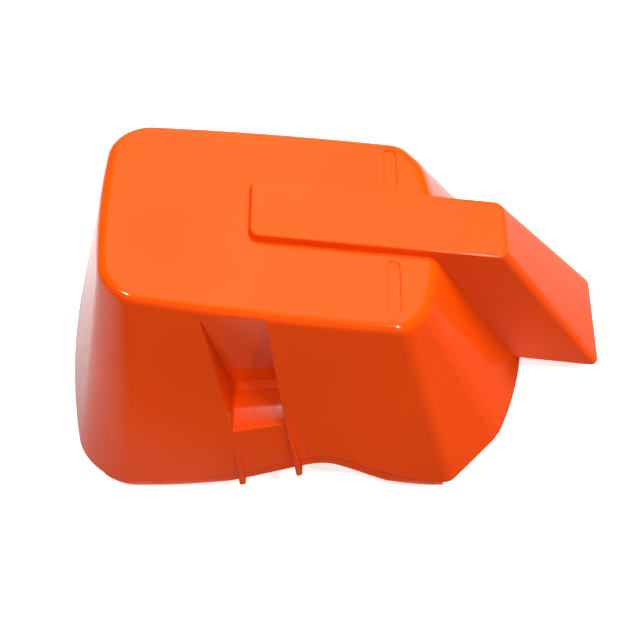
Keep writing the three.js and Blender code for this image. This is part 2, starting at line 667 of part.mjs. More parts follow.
function baseSolid() {
  let base = plate(rimOutline(BASE_INSET, BASE_RELIEF), 0, BASE_THICKNESS);
  const ring = plate(ringOutline(0), BASE_THICKNESS - 1, RING_TOP)
    .subtract(plate(ringOutline(RING_WALL), -OVERCUT, RING_TOP + OVERCUT));
  base = base.add(ring).subtract(slideWay());
  base = base.add(post(STUD_X, 0, BOSS_RADIUS, BASE_THICKNESS - 1, RING_TOP));
  base = base.subtract(post(STUD_X, 0, STUD_RADIUS + CLEARANCE, BASE_THICKNESS / 2, RING_TOP + OVERCUT));
  base = base.subtract(post(HORN_X, 0, HORN_BORE + HORN_WALL + CLEARANCE, -OVERCUT, RING_TOP, 40));
  base = base.subtract(gasketBlank(GASKET_THICKNESS + CLEARANCE, CLEARANCE, -OVERCUT));
  for (const [place, y] of SCREW_PLACES) {
    base = base.subtract(post(along(place), y, SCREW_RADIUS + CLEARANCE, -OVERCUT, RING_TOP, 20));
  }
  const [breatherX, breatherY] = BREATHER_PLACE;
  base = base.subtract(post(along(breatherX), breatherY, BREATHER_RADIUS + CLEARANCE, -OVERCUT, RING_TOP, 24));
  const [drainX, drainY] = DRAIN_PLACE;
  base = base.subtract(post(along(drainX), drainY, DRAIN_RADIUS + CLEARANCE, -OVERCUT, RING_TOP, 24));
  return withLeafHoles(base, 1).add(leafPads()).add(latchLugs(-1)).add(latchLugs(1));
}

// flat blank of the carburettor gasket, also used to sink its seat into the base
function gasketBlank(top, grow, bottom) {
  const x0 = HORN_X + GASKET_AHEAD - GASKET_LENGTH - grow;
  const x1 = HORN_X + GASKET_AHEAD + grow;
  return plate(rectangle(x0, x1, GASKET_WIDTH / 2 + grow, 6 + grow), bottom, top);
}

function gasketSolid() {
  let gasket = gasketBlank(GASKET_THICKNESS, 0, 0);
  gasket = gasket.subtract(post(HORN_X, 0, HORN_BORE + HORN_WALL + CLEARANCE, -OVERCUT, OVERCUT, 40));
  for (const [place, y] of SCREW_PLACES.slice(0, 2)) {
    gasket = gasket.subtract(post(along(place), y, SCREW_RADIUS + CLEARANCE, -OVERCUT, OVERCUT, 20));
  }
  return gasket;
}

const screwAt = ([place, y]) => [along(place), y];

// ring turned about an upright axis from a closed (radius, height) profile
function turned(profile, x, y, sides = 32) {
  const points = [...profile, profile[0]].map(([r, z]) => new THREE.Vector2(r, z));
  const geometry = new THREE.LatheGeometry(points, sides);
  geometry.rotateX(Math.PI / 2);
  geometry.translate(x, y, 0);
  return toSolid(geometry);
}

function hornSolid() {
  const outer = HORN_BORE + HORN_WALL;
  const top = BASE_THICKNESS;
  const lead = HORN_WALL * 0.6;
  return turned([
    [HORN_BORE, 0], [outer, 0], [outer, top], [HORN_BORE + lead, top], [HORN_BORE, top - lead],
  ], HORN_X, 0, 40);
}

function chokeSlide() {
  const start = SLIDE_TRAVEL - HORN_BORE - SLIDE_TIP;
  return box(HORN_X - SLIDE_HALF, HORN_X + SLIDE_HALF, start, SLIDE_END, SLIDE_BOTTOM, SLIDE_TOP);
}

function chokeKnob() {
  const y0 = SLIDE_END + CLEARANCE;
  const half = KNOB_WIDTH / 2;
  const outer = rectangle(HORN_X - half, HORN_X + half, KNOB_DEPTH / 2, 1.6, y0 + KNOB_DEPTH / 2);
  return plate(outer, SLIDE_BOTTOM - CLEARANCE / 2, SLIDE_BOTTOM + KNOB_HEIGHT);
}

function leafSpring() {
  const reach = SLIDE_HALF + CLEARANCE + LEAF_OVERHANG;
  const y = [LEAF_LINE - LEAF_WIDTH / 2, LEAF_LINE + LEAF_WIDTH / 2];
  const z = SLIDE_TOP + CLEARANCE;
  return withLeafHoles(box(HORN_X - reach, HORN_X + reach, ...y, z, z + LEAF_THICKNESS), 0);
}

function leafScrew(x) {
  const seat = SLIDE_TOP + 2 * CLEARANCE + LEAF_THICKNESS;
  return turned([
    [0, 1 + CLEARANCE],
    [LEAF_SCREW_RADIUS, 1 + CLEARANCE],
    [LEAF_SCREW_RADIUS, seat],
    [LEAF_SCREW_HEAD, seat],
    [LEAF_SCREW_HEAD, seat + 1],
    [LEAF_SCREW_HEAD - 0.6, seat + 1.5],
    [0, seat + 1.5],
  ], x, LEAF_LINE, 16);
}

// ---------------------------------------------------------------- filter stack
function sealSolid() {
  return plate(ringOutline(0), SEAL_BOTTOM, SEAL_BOTTOM + SEAL_THICKNESS)
    .subtract(plate(ringOutline(SEAL_WIDTH), 0, 2 * RING_TOP));
}

// open tray with a ledge for the screen and a crossbar with the stud's boss
function frameSolid() {
  const top = FRAME_BOTTOM + FRAME_HEIGHT;
  const ledgeTop = FRAME_BOTTOM + FRAME_LEDGE_THICKNESS;
  const walls = plate(ringOutline(0), FRAME_BOTTOM, top)
    .subtract(plate(ringOutline(FRAME_WALL), 0, top + OVERCUT));
  const ledge = plate(ringOutline(FRAME_WALL / 2), FRAME_BOTTOM, ledgeTop)
    .subtract(plate(ringOutline(FRAME_WALL + FRAME_LEDGE), 0, top));
  const reach = FILTER_WIDTH / 2 - FRAME_WALL;
  const bar = box(STUD_X - FRAME_BAR / 2, STUD_X + FRAME_BAR / 2, -reach, reach, FRAME_BOTTOM, ledgeTop);
  return walls.add(ledge).add(bar)
    .add(post(STUD_X, 0, BOSS_RADIUS, FRAME_BOTTOM, ledgeTop))
    .subtract(post(STUD_X, 0, STUD_HOLE, 0, top + OVERCUT));
}

// punched sheet under the element
function screenSolid() {
  const inset = FRAME_WALL + CLEARANCE;
  let sheet = plate(ringOutline(inset), SCREEN_BOTTOM, SCREEN_BOTTOM + SCREEN_THICKNESS);
  const margin = FRAME_WALL + FRAME_LEDGE + 1;
  const x0 = along(FILTER_START) + margin;
  const pitchX = (FILTER_LENGTH - 2 * margin) / SCREEN_COLUMNS;
  const pitchY = (FILTER_WIDTH - 2 * margin) / SCREEN_ROWS;
  for (let column = 0; column < SCREEN_COLUMNS; column += 1) {
    for (let row = 0; row < SCREEN_ROWS; row += 1) {
      const x = x0 + (column + 0.5) * pitchX;
      const y = -FILTER_WIDTH / 2 + margin + (row + 0.5) * pitchY;
      if (Math.hypot(x - STUD_X, y) < BOSS_RADIUS + pitchX / 2) continue;
      const halfX = (pitchX - SCREEN_BAR) / 2;
      const halfY = (pitchY - SCREEN_BAR) / 2;
      sheet = sheet.subtract(box(x - halfX, x + halfX, y - halfY, y + halfY, 0, ELEMENT_BOTTOM));
    }
  }
  return sheet.subtract(post(STUD_X, 0, STUD_HOLE, 0, ELEMENT_BOTTOM));
}

function elementSolid() {
  return plate(ringOutline(FRAME_WALL + ELEMENT_MARGIN), ELEMENT_BOTTOM, ELEMENT_BOTTOM + ELEMENT_HEIGHT)
    .subtract(post(STUD_X, 0, STUD_RADIUS + 1, 0, TOP_PLATE_BOTTOM + OVERCUT, 24));
}

function topPlateSolid() {
  return plate(ringOutline(FRAME_WALL), TOP_PLATE_BOTTOM, TOP_PLATE_BOTTOM + TOP_PLATE_THICKNESS)
    .subtract(post(STUD_X, 0, STUD_HOLE, 0, NUT_BOTTOM, 24));
}

function washer(x, y, hole, radius, z, thickness) {
  return turned([[hole, z], [radius, z], [radius, z + thickness], [hole, z + thickness]], x, y, 28);
}

function wingNut() {
  const top = NUT_BOTTOM + NUT_HEIGHT;
  const hub = post(STUD_X, 0, NUT_RADIUS, NUT_BOTTOM, top, 28);
  const wing = drawnAlongX([
    [-WING_SPAN / 2, top + 2],
    [-NUT_RADIUS + 1, NUT_BOTTOM + 1],
    [NUT_RADIUS - 1, NUT_BOTTOM + 1],
    [WING_SPAN / 2, top + 2],
    [WING_SPAN / 2 - 3, top + 3.5],
    [NUT_RADIUS - 1, top - 1],
    [-NUT_RADIUS + 1, top - 1],
    [-WING_SPAN / 2 + 3, top + 3.5],
  ], STUD_X - WING_THICKNESS / 2, STUD_X + WING_THICKNESS / 2);
  return hub.add(wing).subtract(post(STUD_X, 0, STUD_HOLE, 0, top + OVERCUT, 24));
}

function stud() {
  return post(STUD_X, 0, STUD_RADIUS, BASE_THICKNESS / 2 + CLEARANCE, TOP_PLATE_BOTTOM + STUD_ABOVE_PLATE, 24);
}

// ---------------------------------------------------------------- fasteners and small fittings
function baseScrew([place, y]) {
  const seat = BASE_THICKNESS + SCREW_WASHER_THICKNESS + 2 * CLEARANCE;
  const socket = 2;
  return turned([
    [0, CLEARANCE], [SCREW_RADIUS, CLEARANCE], [SCREW_RADIUS, seat], [SCREW_HEAD_RADIUS, seat],
    [SCREW_HEAD_RADIUS, seat + SCREW_HEAD_HEIGHT - 0.5], [SCREW_HEAD_RADIUS - 0.5, seat + SCREW_HEAD_HEIGHT],
    [socket, seat + SCREW_HEAD_HEIGHT], [socket, seat + 1], [0, seat + 1],
  ], along(place), y, 24);
}

function screwWasher(place) {
  const seat = BASE_THICKNESS + CLEARANCE;
  return washer(...screwAt(place), SCREW_RADIUS + CLEARANCE, SCREW_WASHER_RADIUS, seat, SCREW_WASHER_THICKNESS);
}

function breatherNozzle() {
  const top = BASE_THICKNESS + BREATHER_RISE;
  return turned([
    [BREATHER_BORE, 0], [BREATHER_RADIUS, 0], [BREATHER_RADIUS, BASE_THICKNESS + CLEARANCE],
    [BREATHER_RADIUS + 1.2, BASE_THICKNESS + CLEARANCE], [BREATHER_RADIUS + 1.2, BASE_THICKNESS + 1.5],
    [BREATHER_RADIUS - 0.4, top], [BREATHER_BORE, top],
  ], along(BREATHER_PLACE[0]), BREATHER_PLACE[1], 28);
}

function drainValve() {
  const lip = BASE_THICKNESS + CLEARANCE;
  return turned([
    [0, 0.5], [DRAIN_RADIUS, 0.5], [DRAIN_RADIUS, lip], [DRAIN_LIP, lip], [DRAIN_LIP, lip + 1.4],
    [DRAIN_RADIUS - 1.5, lip + 1.4], [DRAIN_RADIUS - 1.5, 2], [0, 2],
  ], along(DRAIN_PLACE[0]), DRAIN_PLACE[1], 24);
}

// ---------------------------------------------------------------- latches
const latchPinZ = BASE_THICKNESS + LATCH_PIN_HEIGHT;
const latchPinY = (side) => side * (HALF_WIDTH - LATCH_IN);

// arm in its closed place, drawn in (y, z) from its pin and then swung open
function latchArm(side) {
  const x = along(LATCH_PLACE);
  const hookFoot = catchTop + CLEARANCE - latchPinZ;
  const hookTop = hookFoot + LATCH_HOOK_THICKNESS;
  const tip = catchEdge + LATCH_GRIP - (HALF_WIDTH - LATCH_IN);
  const half = LATCH_THICKNESS / 2;
  const profile = [
    [-half, 0],
    [half, 0],
    [half, hookFoot],
    [tip, hookFoot],
    [tip, hookFoot + LATCH_HOOK_TIP],
    [half, hookTop + LATCH_HOOK_HEEL],
    [-half, hookTop + LATCH_HOOK_HEEL],
  ];
  const arm = drawnAlongX(profile, -LATCH_WIDTH / 2, LATCH_WIDTH / 2)
    .add(rod(-LATCH_WIDTH / 2, LATCH_WIDTH / 2, 0, 0, LATCH_HUB))
    .subtract(rod(-LATCH_WIDTH, LATCH_WIDTH, 0, 0, LATCH_PIN_RADIUS + RUNNING_CLEARANCE))
    .rotate([THREE.MathUtils.radToDeg(LATCH_OPEN), 0, 0]);
  return (side < 0 ? arm.mirror([0, 1, 0]) : arm).translate([x, latchPinY(side), latchPinZ]);
}

const springRoom = SPRING_TURNS * SPRING_PITCH + 2 * SPRING_WIRE;
const lugFace = LATCH_WIDTH / 2 + CLEARANCE + LUG_THICKNESS;

function latchPin(side) {
  const x = along(LATCH_PLACE);
  const end = lugFace + springRoom + 3 * CLEARANCE;
  return rod(x - end - 0.5, x + lugFace + 1, latchPinY(side), latchPinZ, LATCH_PIN_RADIUS)
    .add(rod(x - end - 1.2, x - end, latchPinY(side), latchPinZ, LATCH_PIN_HEAD));
}

class CoilPath extends THREE.Curve {
  constructor(radius, pitch, turns) {
    super();
    this.radius = radius;
    this.pitch = pitch;
    this.turns = turns;
  }

  getPoint(t, target = new THREE.Vector3()) {
    const angle = 2 * Math.PI * this.turns * t;
    const along = this.pitch * this.turns * t;
    return target.set(along, this.radius * Math.cos(angle), this.radius * Math.sin(angle));
  }
}

function latchSpring(side) {
  const wire = new THREE.Shape().absarc(0, 0, SPRING_WIRE, 0, 2 * Math.PI);
  const radius = LATCH_PIN_RADIUS + CLEARANCE + SPRING_WIRE;
  const geometry = new THREE.ExtrudeGeometry(wire, {
    steps: Math.round(SPRING_TURNS * 14),
    curveSegments: 3,
    bevelEnabled: false,
    extrudePath: new CoilPath(radius, SPRING_PITCH, SPRING_TURNS),
  });
  geometry.translate(along(LATCH_PLACE) - lugFace - springRoom - CLEARANCE, latchPinY(side), latchPinZ);
  return geometry;
}

// ---------------------------------------------------------------- assembly
const FINISHES = {
  orange: { color: 0xff5a08, roughness: 0.32, metalness: 0 },
  black: { color: 0x1b1c1e, roughness: 0.55, metalness: 0 },
  rubber: { color: 0x101112, roughness: 0.85, metalness: 0 },
  steel: { color: 0xb9bcc0, roughness: 0.35, metalness: 1 },
  zinc: { color: 0xd2cfc4, roughness: 0.42, metalness: 1 },
  foam: { color: 0x3b4046, roughness: 0.95, metalness: 0 },
  paper: { color: 0xb9a06a, roughness: 0.9, metalness: 0 },
  aluminium: { color: 0xc8cacd, roughness: 0.4, metalness: 1 },
};

const housing = new THREE.Group();

function add(name, shape, finish) {
  const geometry = shape.isBufferGeometry ? shape : toGeometry(shape);
  const mesh = new THREE.Mesh(geometry, new THREE.MeshStandardMaterial(FINISHES[finish]));
  mesh.name = name;
  housing.add(mesh);
}

add('cover', coverSolid(), 'orange');
add('base_plate', baseSolid(), 'black');
add('carburettor_gasket', gasketSolid(), 'rubber');
add('intake_horn', hornSolid(), 'aluminium');
add('choke_slide', chokeSlide(), 'steel');
add('choke_knob', chokeKnob(), 'black');
add('choke_leaf_spring', leafSpring(), 'steel');
leafScrewXs().forEach((x, i) => add(`leaf_screw_${i + 1}`, leafScrew(x), 'zinc'));
SCREW_PLACES.forEach((place, i) => {
  add(`base_screw_${i + 1}`, baseScrew(place), 'zinc');
  add(`base_washer_${i + 1}`, screwWasher(place), 'zinc');
});
add('breather_nozzle', breatherNozzle(), 'black');
add('drain_valve', drainValve(), 'rubber');
add('filter_stud', stud(), 'steel');
add('filter_seal', sealSolid(), 'rubber');
add('filter_frame', frameSolid(), 'black');
add('filter_screen', screenSolid(), 'steel');
add('filter_element', elementSolid(), 'foam');
add('filter_top_plate', topPlateSolid(), 'black');
add('wing_nut_washer', washer(STUD_X, 0, STUD_HOLE, WASHER_RADIUS, WASHER_BOTTOM, WASHER_THICKNESS), 'zinc');
add('wing_nut', wingNut(), 'zinc');
for (const [name, side] of [['front', -1], ['rear', 1]]) {
  add(`${name}_latch_arm`, latchArm(side), 'black');
  add(`${name}_latch_pin`, latchPin(side), 'steel');
  add(`${name}_latch_spring`, latchSpring(side), 'steel');
}

// stand the housing on its base with the origin under the middle of its outer box
const bounds = new THREE.Box3().setFromObject(housing);
const middle = bounds.getCenter(new THREE.Vector3());
housing.position.set(-middle.x, -middle.y, -bounds.min.z);

export default housing;
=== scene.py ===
"""Looks of an air filter housing for a small engine.

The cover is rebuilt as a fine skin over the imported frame, the springs, the stud and the
foam get their own fine pieces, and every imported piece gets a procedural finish.
All lengths are metres, in the frame's own axes.
"""

import json
import math

import bmesh
import bpy
from bpy.props import FloatProperty, FloatVectorProperty, PointerProperty
from bpy.types import Operator, Panel, PropertyGroup
from mathutils import Matrix, Vector


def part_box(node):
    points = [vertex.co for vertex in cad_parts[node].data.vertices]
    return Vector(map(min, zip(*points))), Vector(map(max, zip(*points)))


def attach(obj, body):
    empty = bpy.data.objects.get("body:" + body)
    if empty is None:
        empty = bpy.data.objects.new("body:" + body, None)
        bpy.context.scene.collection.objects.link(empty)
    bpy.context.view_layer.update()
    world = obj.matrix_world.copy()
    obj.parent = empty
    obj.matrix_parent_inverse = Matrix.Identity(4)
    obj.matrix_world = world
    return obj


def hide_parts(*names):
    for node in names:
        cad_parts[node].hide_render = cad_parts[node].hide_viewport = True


bl_info = {
    "name": "Air filter housing",
    "version": (1, 0, 0),
    "blender": (4, 5, 0),
    "location": "View3D > Sidebar > Housing",
    "description": "Builds the fine pieces and finishes of an air filter housing",
    "category": "Object",
}

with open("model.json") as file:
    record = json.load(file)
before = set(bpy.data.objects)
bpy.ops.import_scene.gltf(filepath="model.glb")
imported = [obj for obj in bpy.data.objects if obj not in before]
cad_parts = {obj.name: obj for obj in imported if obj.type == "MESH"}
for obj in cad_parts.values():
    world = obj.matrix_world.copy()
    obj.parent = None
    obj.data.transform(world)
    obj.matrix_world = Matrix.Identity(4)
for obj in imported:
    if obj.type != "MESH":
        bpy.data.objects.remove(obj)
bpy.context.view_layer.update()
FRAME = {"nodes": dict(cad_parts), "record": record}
NODES = FRAME["nodes"]


def length(name, description, default, lowest=0.0):
    return FloatProperty(name=name, description=description, default=default, min=lowest, unit="LENGTH")


# ------------------------------------------------------------------ settings
class CoverSettings(PropertyGroup):
    """Sizes of the moulded cover, measured from the closed end of its straight rim."""

    wall: length("Wall", "Thickness of the moulded wall", 0.0024)
    rim_length: length("Rim length", "Straight front edge of the rim", 0.0985)
    rim_width: length("Rim width", "Across the rim, front to back", 0.099)
    rim_height: length("Rim height", "Rim above the plane the base stands on", 0.007)
    rim_left_bow: length("Closed end bow", "Bulge of the closed end", 0.0075)
    rim_right_bow: length("Hood end bow", "Bulge of the hood end", 0.0088)
    rim_chamfer: length("Rim chamfer", "Cut corners at the hood end", 0.0139)
    rim_corner: length("Rim corner", "Corner radius at the closed end", 0.013)
    rim_chamfer_corner: length("Chamfer corner", "Corner radius at the cut corners", 0.0045)
    plate_left: length("Plate inset, closed end", "From the rim's corner to the plate's", 0.0097)
    plate_right: length("Plate inset, hood end", "From the rim's end to the plate's", 0.0224)
    plate_width_left: length("Plate width, closed end", "Across the top plate", 0.0516)
    plate_width_right: length("Plate width, hood end", "Across the top plate", 0.0574)
    plate_left_bow: length("Plate bow, closed end", "Bulge of the plate's closed end", 0.0018)
    plate_right_bow: length("Plate bow, hood end", "Bulge of the plate's hood end", 0.0032)
    plate_side_bow: length("Plate side bow", "Bulge of the plate's long edges", 0.001)
    plate_corner: length("Plate corner", "Corner radius of the top plate", 0.0095)
    plate_edge: length("Plate edge", "Reach of the plate's rounded edge", 0.0026)
    height: length("Height", "Rim to top plate at the closed end", 0.0602)
    slope: FloatProperty(name="Slope", description="Fall of the plate towards the hood", default=0.1655)
    tongue_depth: length("Tongue depth", "Lip under the front and back rims", 0.003)
    tongue_inset: length("Tongue inset", "How far the lip sits in from the wall", 0.0005)
    arch_height: length("Relief height", "Relief under the front and back rims", 0.0091)
    arch_place: length("Relief place", "Its highest point", 0.064)
    arch_left: length("Relief run, closed end", "Where it runs out", 0.045)
    arch_right: length("Relief run, hood end", "Where it runs out", 0.030)
    arch_flare: FloatProperty(name="Relief flare", description="How sharply it runs out", default=1.6)
    arch_rounding: length("Relief rounding", "Softness of its highest point", 0.006)
    tongue_start: length("Tongue start", "Start of the lip", 0.004)
    tongue_end: length("Tongue end", "Lip short of the straight rim's end", 0.0018)
    tongue_root: length("Tongue root", "How far the lip runs up inside the wall", 0.001)
    slot_place: length("Slot place", "Middle of the shallow slots", 0.0818)
    slot_width: length("Slot width", "Across a shallow slot", 0.0034)
    slot_depth: length("Slot depth", "Depth of a shallow slot", 0.00035)
    slot_near: length("Slot start", "Near end from the strap's middle", 0.0114)
    slot_front: length("Slot end, front", "Far end of the front slot", 0.0272)
    slot_rear: length("Slot end, back", "Far end of the back slot", 0.0240)
    web_width: length("Web width", "Thickness of the webs the cover stands on", 0.0022)
    web_depth: length("Web depth", "Webs in from the wall", 0.007)
    web_height: length("Web height", "Webs above the rim", 0.016)
    catch_place: length("Catch place", "Middle of the ribs the latches hook over", 0.045)
    catch_length: length("Catch length", "Along the rib", 0.013)
    catch_depth: length("Catch depth", "Rib in from the wall", 0.0052)
    catch_height: length("Catch height", "Rib above the rim", 0.009)
    catch_thickness: length("Catch thickness", "Thickness of the rib", 0.0024)


class HoodSettings(PropertyGroup):
    """Sizes of the strap on the plate and the hood it runs into."""

    rise: length("Rise", "Strap above the top plate", 0.0023)
    half_width: length("Half width", "Half of the strap's width", 0.0088)
    offset: length("Offset", "Strap's middle behind the plate's", 0.0024)
    start: length("Start", "Closed end of the strap", 0.0454)
    corner: length("Corner", "Corner radius of the strap", 0.0024)
    edge: length("Edge", "Reach of the rounded edges", 0.0007)
    reach: length("Reach", "Flat top past the straight rim", 0.0131)
    mouth_reach: length("Mouth reach", "Mouth past the straight rim", 0.0446)
    mouth_half: length("Mouth half width", "Half of the mouth's width", 0.015)
    mouth_drop: length("Mouth drop", "Outer edge of the mouth below the rim", 0.002)
    mouth_slope: FloatProperty(name="Mouth slope", description="Rise towards the body", default=0.215)
    corner_radius: length("Hood corner", "Corner radius of the hood", 0.0026)
    wall: length("Wall", "Thickness of the hood's wall", 0.0022)
    root: length("Root", "How far the hood runs back into the body", 0.030)
    window_low: length("Window low", "Air window above the rim", 0.024)
    window_high: length("Window high", "Air window above the rim", 0.038)


class PocketSettings(PropertyGroup):
    """Sizes of the finger pockets in the front and back walls."""

    place: length("Place", "Where the pocket's middle line meets the rim", 0.0504)
    tilt: FloatProperty(
        name="Tilt", description="Lean towards the closed end", default=math.radians(9.6), subtype="ANGLE")
    top_width: length("Top width", "Across the pocket's top", 0.0156)
    low_width: length("Low width", "Across the pocket's floor", 0.0142)
    high: length("High", "Top of the pocket above the rim", 0.051)
    floor: length("Floor", "Floor of the pocket above the rim", 0.021)
    fall: FloatProperty(name="Fall", description="Fall of the floor per length outwards", default=0.16)
    back_high: length("Back, high", "Back wall in from the rim's edge, at the top", 0.0208)
    back_low: length("Back, low", "Back wall in from the rim's edge, at the floor", 0.020)
    fillet: length("Fillet", "Between the back wall and the floor", 0.0018)
    lining: length("Lining", "Thickness of the pocket's wall", 0.002)
    rib_width: length("Rib width", "Wedge rib at the rim", 0.0022)
    rib_proud: length("Rib proud", "Wedge rib out of the wall", 0.0024)
    rib_rise: length("Rib rise", "Rib's tip above the floor", 0.0035)


class FinishSettings(PropertyGroup):
    """Colours and grain of the finishes."""

    orange: FloatVectorProperty(
        name="Cover", description="Moulded colour of the cover", subtype="COLOR", size=3,
        default=(0.88, 0.066, 0.0005), min=0, max=1)
    black: FloatVectorProperty(
        name="Base", description="Colour of the black mouldings", subtype="COLOR", size=3,
        default=(0.018, 0.019, 0.021), min=0, max=1)
    steel: FloatVectorProperty(
        name="Steel", description="Colour of bright steel", subtype="COLOR", size=3,
        default=(0.52, 0.53, 0.55), min=0, max=1)
    zinc: FloatVectorProperty(
        name="Zinc", description="Colour of plated fasteners", subtype="COLOR", size=3,
        default=(0.62, 0.56, 0.42), min=0, max=1)
    foam: FloatVectorProperty(
        name="Foam", description="Colour of the oiled foam", subtype="COLOR", size=3,
        default=(0.045, 0.050, 0.058), min=0, max=1)
    rubber: FloatVectorProperty(
        name="Rubber", description="Colour of rubber pieces", subtype="COLOR", size=3,
        default=(0.012, 0.012, 0.013), min=0, max=1)
    edge: length("Edge softness", "How far moulded edges are rounded", 0.00045)
    pore: length("Foam pore", "Size of the foam's pores", 0.0016)


class StageSettings(PropertyGroup):
    """Camera and light."""

    camera: FloatVectorProperty(
        name="Camera", description="Where the camera stands", subtype="TRANSLATION", size=3,
        default=(-0.0047, -0.19007, 0.33341))
    elevation: FloatProperty(
        name="Elevation", description="How far the camera looks down",
        default=math.radians(60), subtype="ANGLE")
    lens: FloatProperty(name="Lens", description="Focal length in millimetres", default=72.75, min=1)
    floor: length("Floor", "Side of the floor", 12.0)
    key: FloatProperty(name="Key light", description="Watts of the overhead light", default=41.0, min=0)
    fill: FloatProperty(
        name="Front light", description="Watts of the weak light in front", default=4.6, min=0)
    backdrop: FloatProperty(name="Backdrop", description="Watts of the lit sheet behind", default=0.9, min=0)
    below: FloatProperty(name="Light below", description="Watts under the floor", default=22.0, min=0)
    room: FloatProperty(name="Room", description="Brightness of the room around", default=0.05, min=0)


# ------------------------------------------------------------------ outlines
CORNER_STEPS = 14
EDGE_STEPS = 34
ROUND_STEPS = 8
WALL_STEPS = 26
OVERCUT = 0.005
WEB_PLACES = (0.012, 0.091)
HOOD_ROUND_STEPS = 6
RIB_STEPS = 10
RIB_SOFTENING = 0.22
RIB_TIP_SHARE = 0.06
RIB_TAPER = 0.75
# Steps of the pocket's floor: in from the rim's edge, and up from the floor.
FLOOR_STEPS = ((0.0098, -0.0016), (0.0125, -0.0004))
# The last step: out from the back wall, and up from the floor.
LAST_STEP = (0.0045, 0.0004)
FLOOR_LIP = 0.0002


def corner_arc(corners, i):
    """Points of one rounded corner of a plan outline."""
    count = len(corners)
    here = Vector(corners[i]["at"])
    back = (Vector(corners[i - 1]["at"]) - here).normalized()
    ahead = (Vector(corners[(i + 1) % count]["at"]) - here).normalized()
    radius = corners[i]["radius"]
    half = back.angle(ahead) / 2
    start = here + back * (radius / math.tan(half))
    centre = here + (back + ahead).normalized() * (radius / math.sin(half))
    first = math.atan2(start.y - centre.y, start.x - centre.x)
    turn = math.pi - 2 * half
    return [
        centre + radius * Vector((math.cos(first + turn * k / CORNER_STEPS),
                                  math.sin(first + turn * k / CORNER_STEPS)))
        for k in range(CORNER_STEPS + 1)
    ]


def bowed(point, corners):
    """The point moved outwards by the bow of each edge it lies near."""
    moved = point.copy()
    for i, corner in enumerate(corners):
        if not corner.get("bow"):
            continue
        here = Vector(corner["at"])
        edge = Vector(corners[(i + 1) % len(corners)]["at"]) - here
        size = edge.length
        edge /= size
        outward = Vector((edge.y, -edge.x))
        offset = point - here
        t = min(1.0, max(0.0, offset.dot(edge) / size))
        near = min(1.0, max(0.0, 1 + 2 * offset.dot(outward) / size))
        moved += outward * (corner["bow"] * 4 * t * (1 - t) * near ** 2)
    return moved


def outline(corners, edge_steps=EDGE_STEPS):
    """Rounded plan outline through corners, each edge bent outwards by its bow."""
    arcs = [corner_arc(corners, i) for i in range(len(corners))]
    points = []
    for i, arc in enumerate(arcs):
        points += arc
        after = arcs[(i + 1) % len(arcs)][0]
        points += [arc[-1].lerp(after, k / edge_steps) for k in range(1, edge_steps)]
    return [bowed(point, corners) for point in points]


def rectangle(x0, x1, half, radius, middle, edge_steps=6):
    return outline([
        {"at": (x0, middle - half), "radius": radius},
        {"at": (x1, middle - half), "radius": radius},
        {"at": (x1, middle + half), "radius": radius},
        {"at": (x0, middle + half), "radius": radius},
    ], edge_steps)


class Cover:
    """Places on the cover, worked out from its settings and the frame's boxes."""

    def __init__(self, scene):
        self.c = scene.housing_cover
        self.h = scene.housing_hood
        self.p = scene.housing_pocket
        base_low, base_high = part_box("base_plate")
        self.x0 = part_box("cover")[0].x + self.c.rim_left_bow
        self.x1 = self.x0 + self.c.rim_length
        self.y = (base_low.y + base_high.y) / 2
        self.half = self.c.rim_width / 2
        self.rim_z = self.c.rim_height
        self.foot_z = self.rim_z - self.c.tongue_depth
        self.plate_x0 = self.x0 + self.c.plate_left
        self.plate_x1 = self.x1 + self.c.rim_chamfer - self.c.plate_right

    def plate_z(self, x):
        return self.rim_z + self.c.height - self.c.slope * (x - self.plate_x0 + self.c.plate_left_bow)

    def rim(self, inset=0.0):
        c = self.c
        shift = math.tan(math.pi / 8) * inset
        left, right = self.x0 + inset, self.x1 + c.rim_chamfer - inset
        shoulder, low = self.x1 - shift, self.half - c.rim_chamfer - shift
        half = self.half - inset
        radius = max(0.001, c.rim_corner - inset)
        cut = c.rim_chamfer_corner
        return self.about([
            {"at": (left, -half), "radius": radius},
            {"at": (shoulder, -half), "radius": cut},
            {"at": (right, -low), "radius": cut, "bow": c.rim_right_bow},
            {"at": (right, low), "radius": cut},
            {"at": (shoulder, half), "radius": cut},
            {"at": (left, half), "radius": radius, "bow": c.rim_left_bow},
        ])

    def plate(self, inset=0.0):
        c = self.c
        left, right = self.plate_x0 + inset, self.plate_x1 - inset
        half_left, half_right = c.plate_width_left / 2 - inset, c.plate_width_right / 2 - inset
        radius = c.plate_corner - inset
        cut = radius / (1 + math.tan(math.pi / 8)) * 0.8
        return self.about([
            {"at": (left, -half_left), "radius": radius, "bow": c.plate_side_bow},
            {"at": (right - cut, -half_right), "radius": cut},
            {"at": (right, cut - half_right), "radius": cut, "bow": c.plate_right_bow},
            {"at": (right, half_right - cut), "radius": cut},
            {"at": (right - cut, half_right), "radius": cut, "bow": c.plate_side_bow},
            {"at": (left, half_left), "radius": radius, "bow": c.plate_left_bow},
        ])

    def about(self, corners):
        return [Vector((p.x, p.y + self.y)) for p in outline(corners)]

    def wall_lean(self, place):
        c = self.c
        x = self.x0 + place
        t = (x - self.plate_x0) / (self.plate_x1 - self.plate_x0)
        plain = (c.plate_width_left * (1 - t) + c.plate_width_right * t) / 2
        return (self.half - plain - 4 * c.plate_side_bow * t * (1 - t)) / (self.plate_z(x) - self.rim_z)

    def arch_lift(self, x):
        c = self.c
        offset = x - self.x0 - c.arch_place
        run = c.arch_left if offset < 0 else c.arch_right
        soft = c.arch_rounding
        share = (math.hypot(offset, soft) - soft) / (math.hypot(run, soft) - soft)
        return c.arch_height * max(0.0, 1 - share) ** c.arch_flare


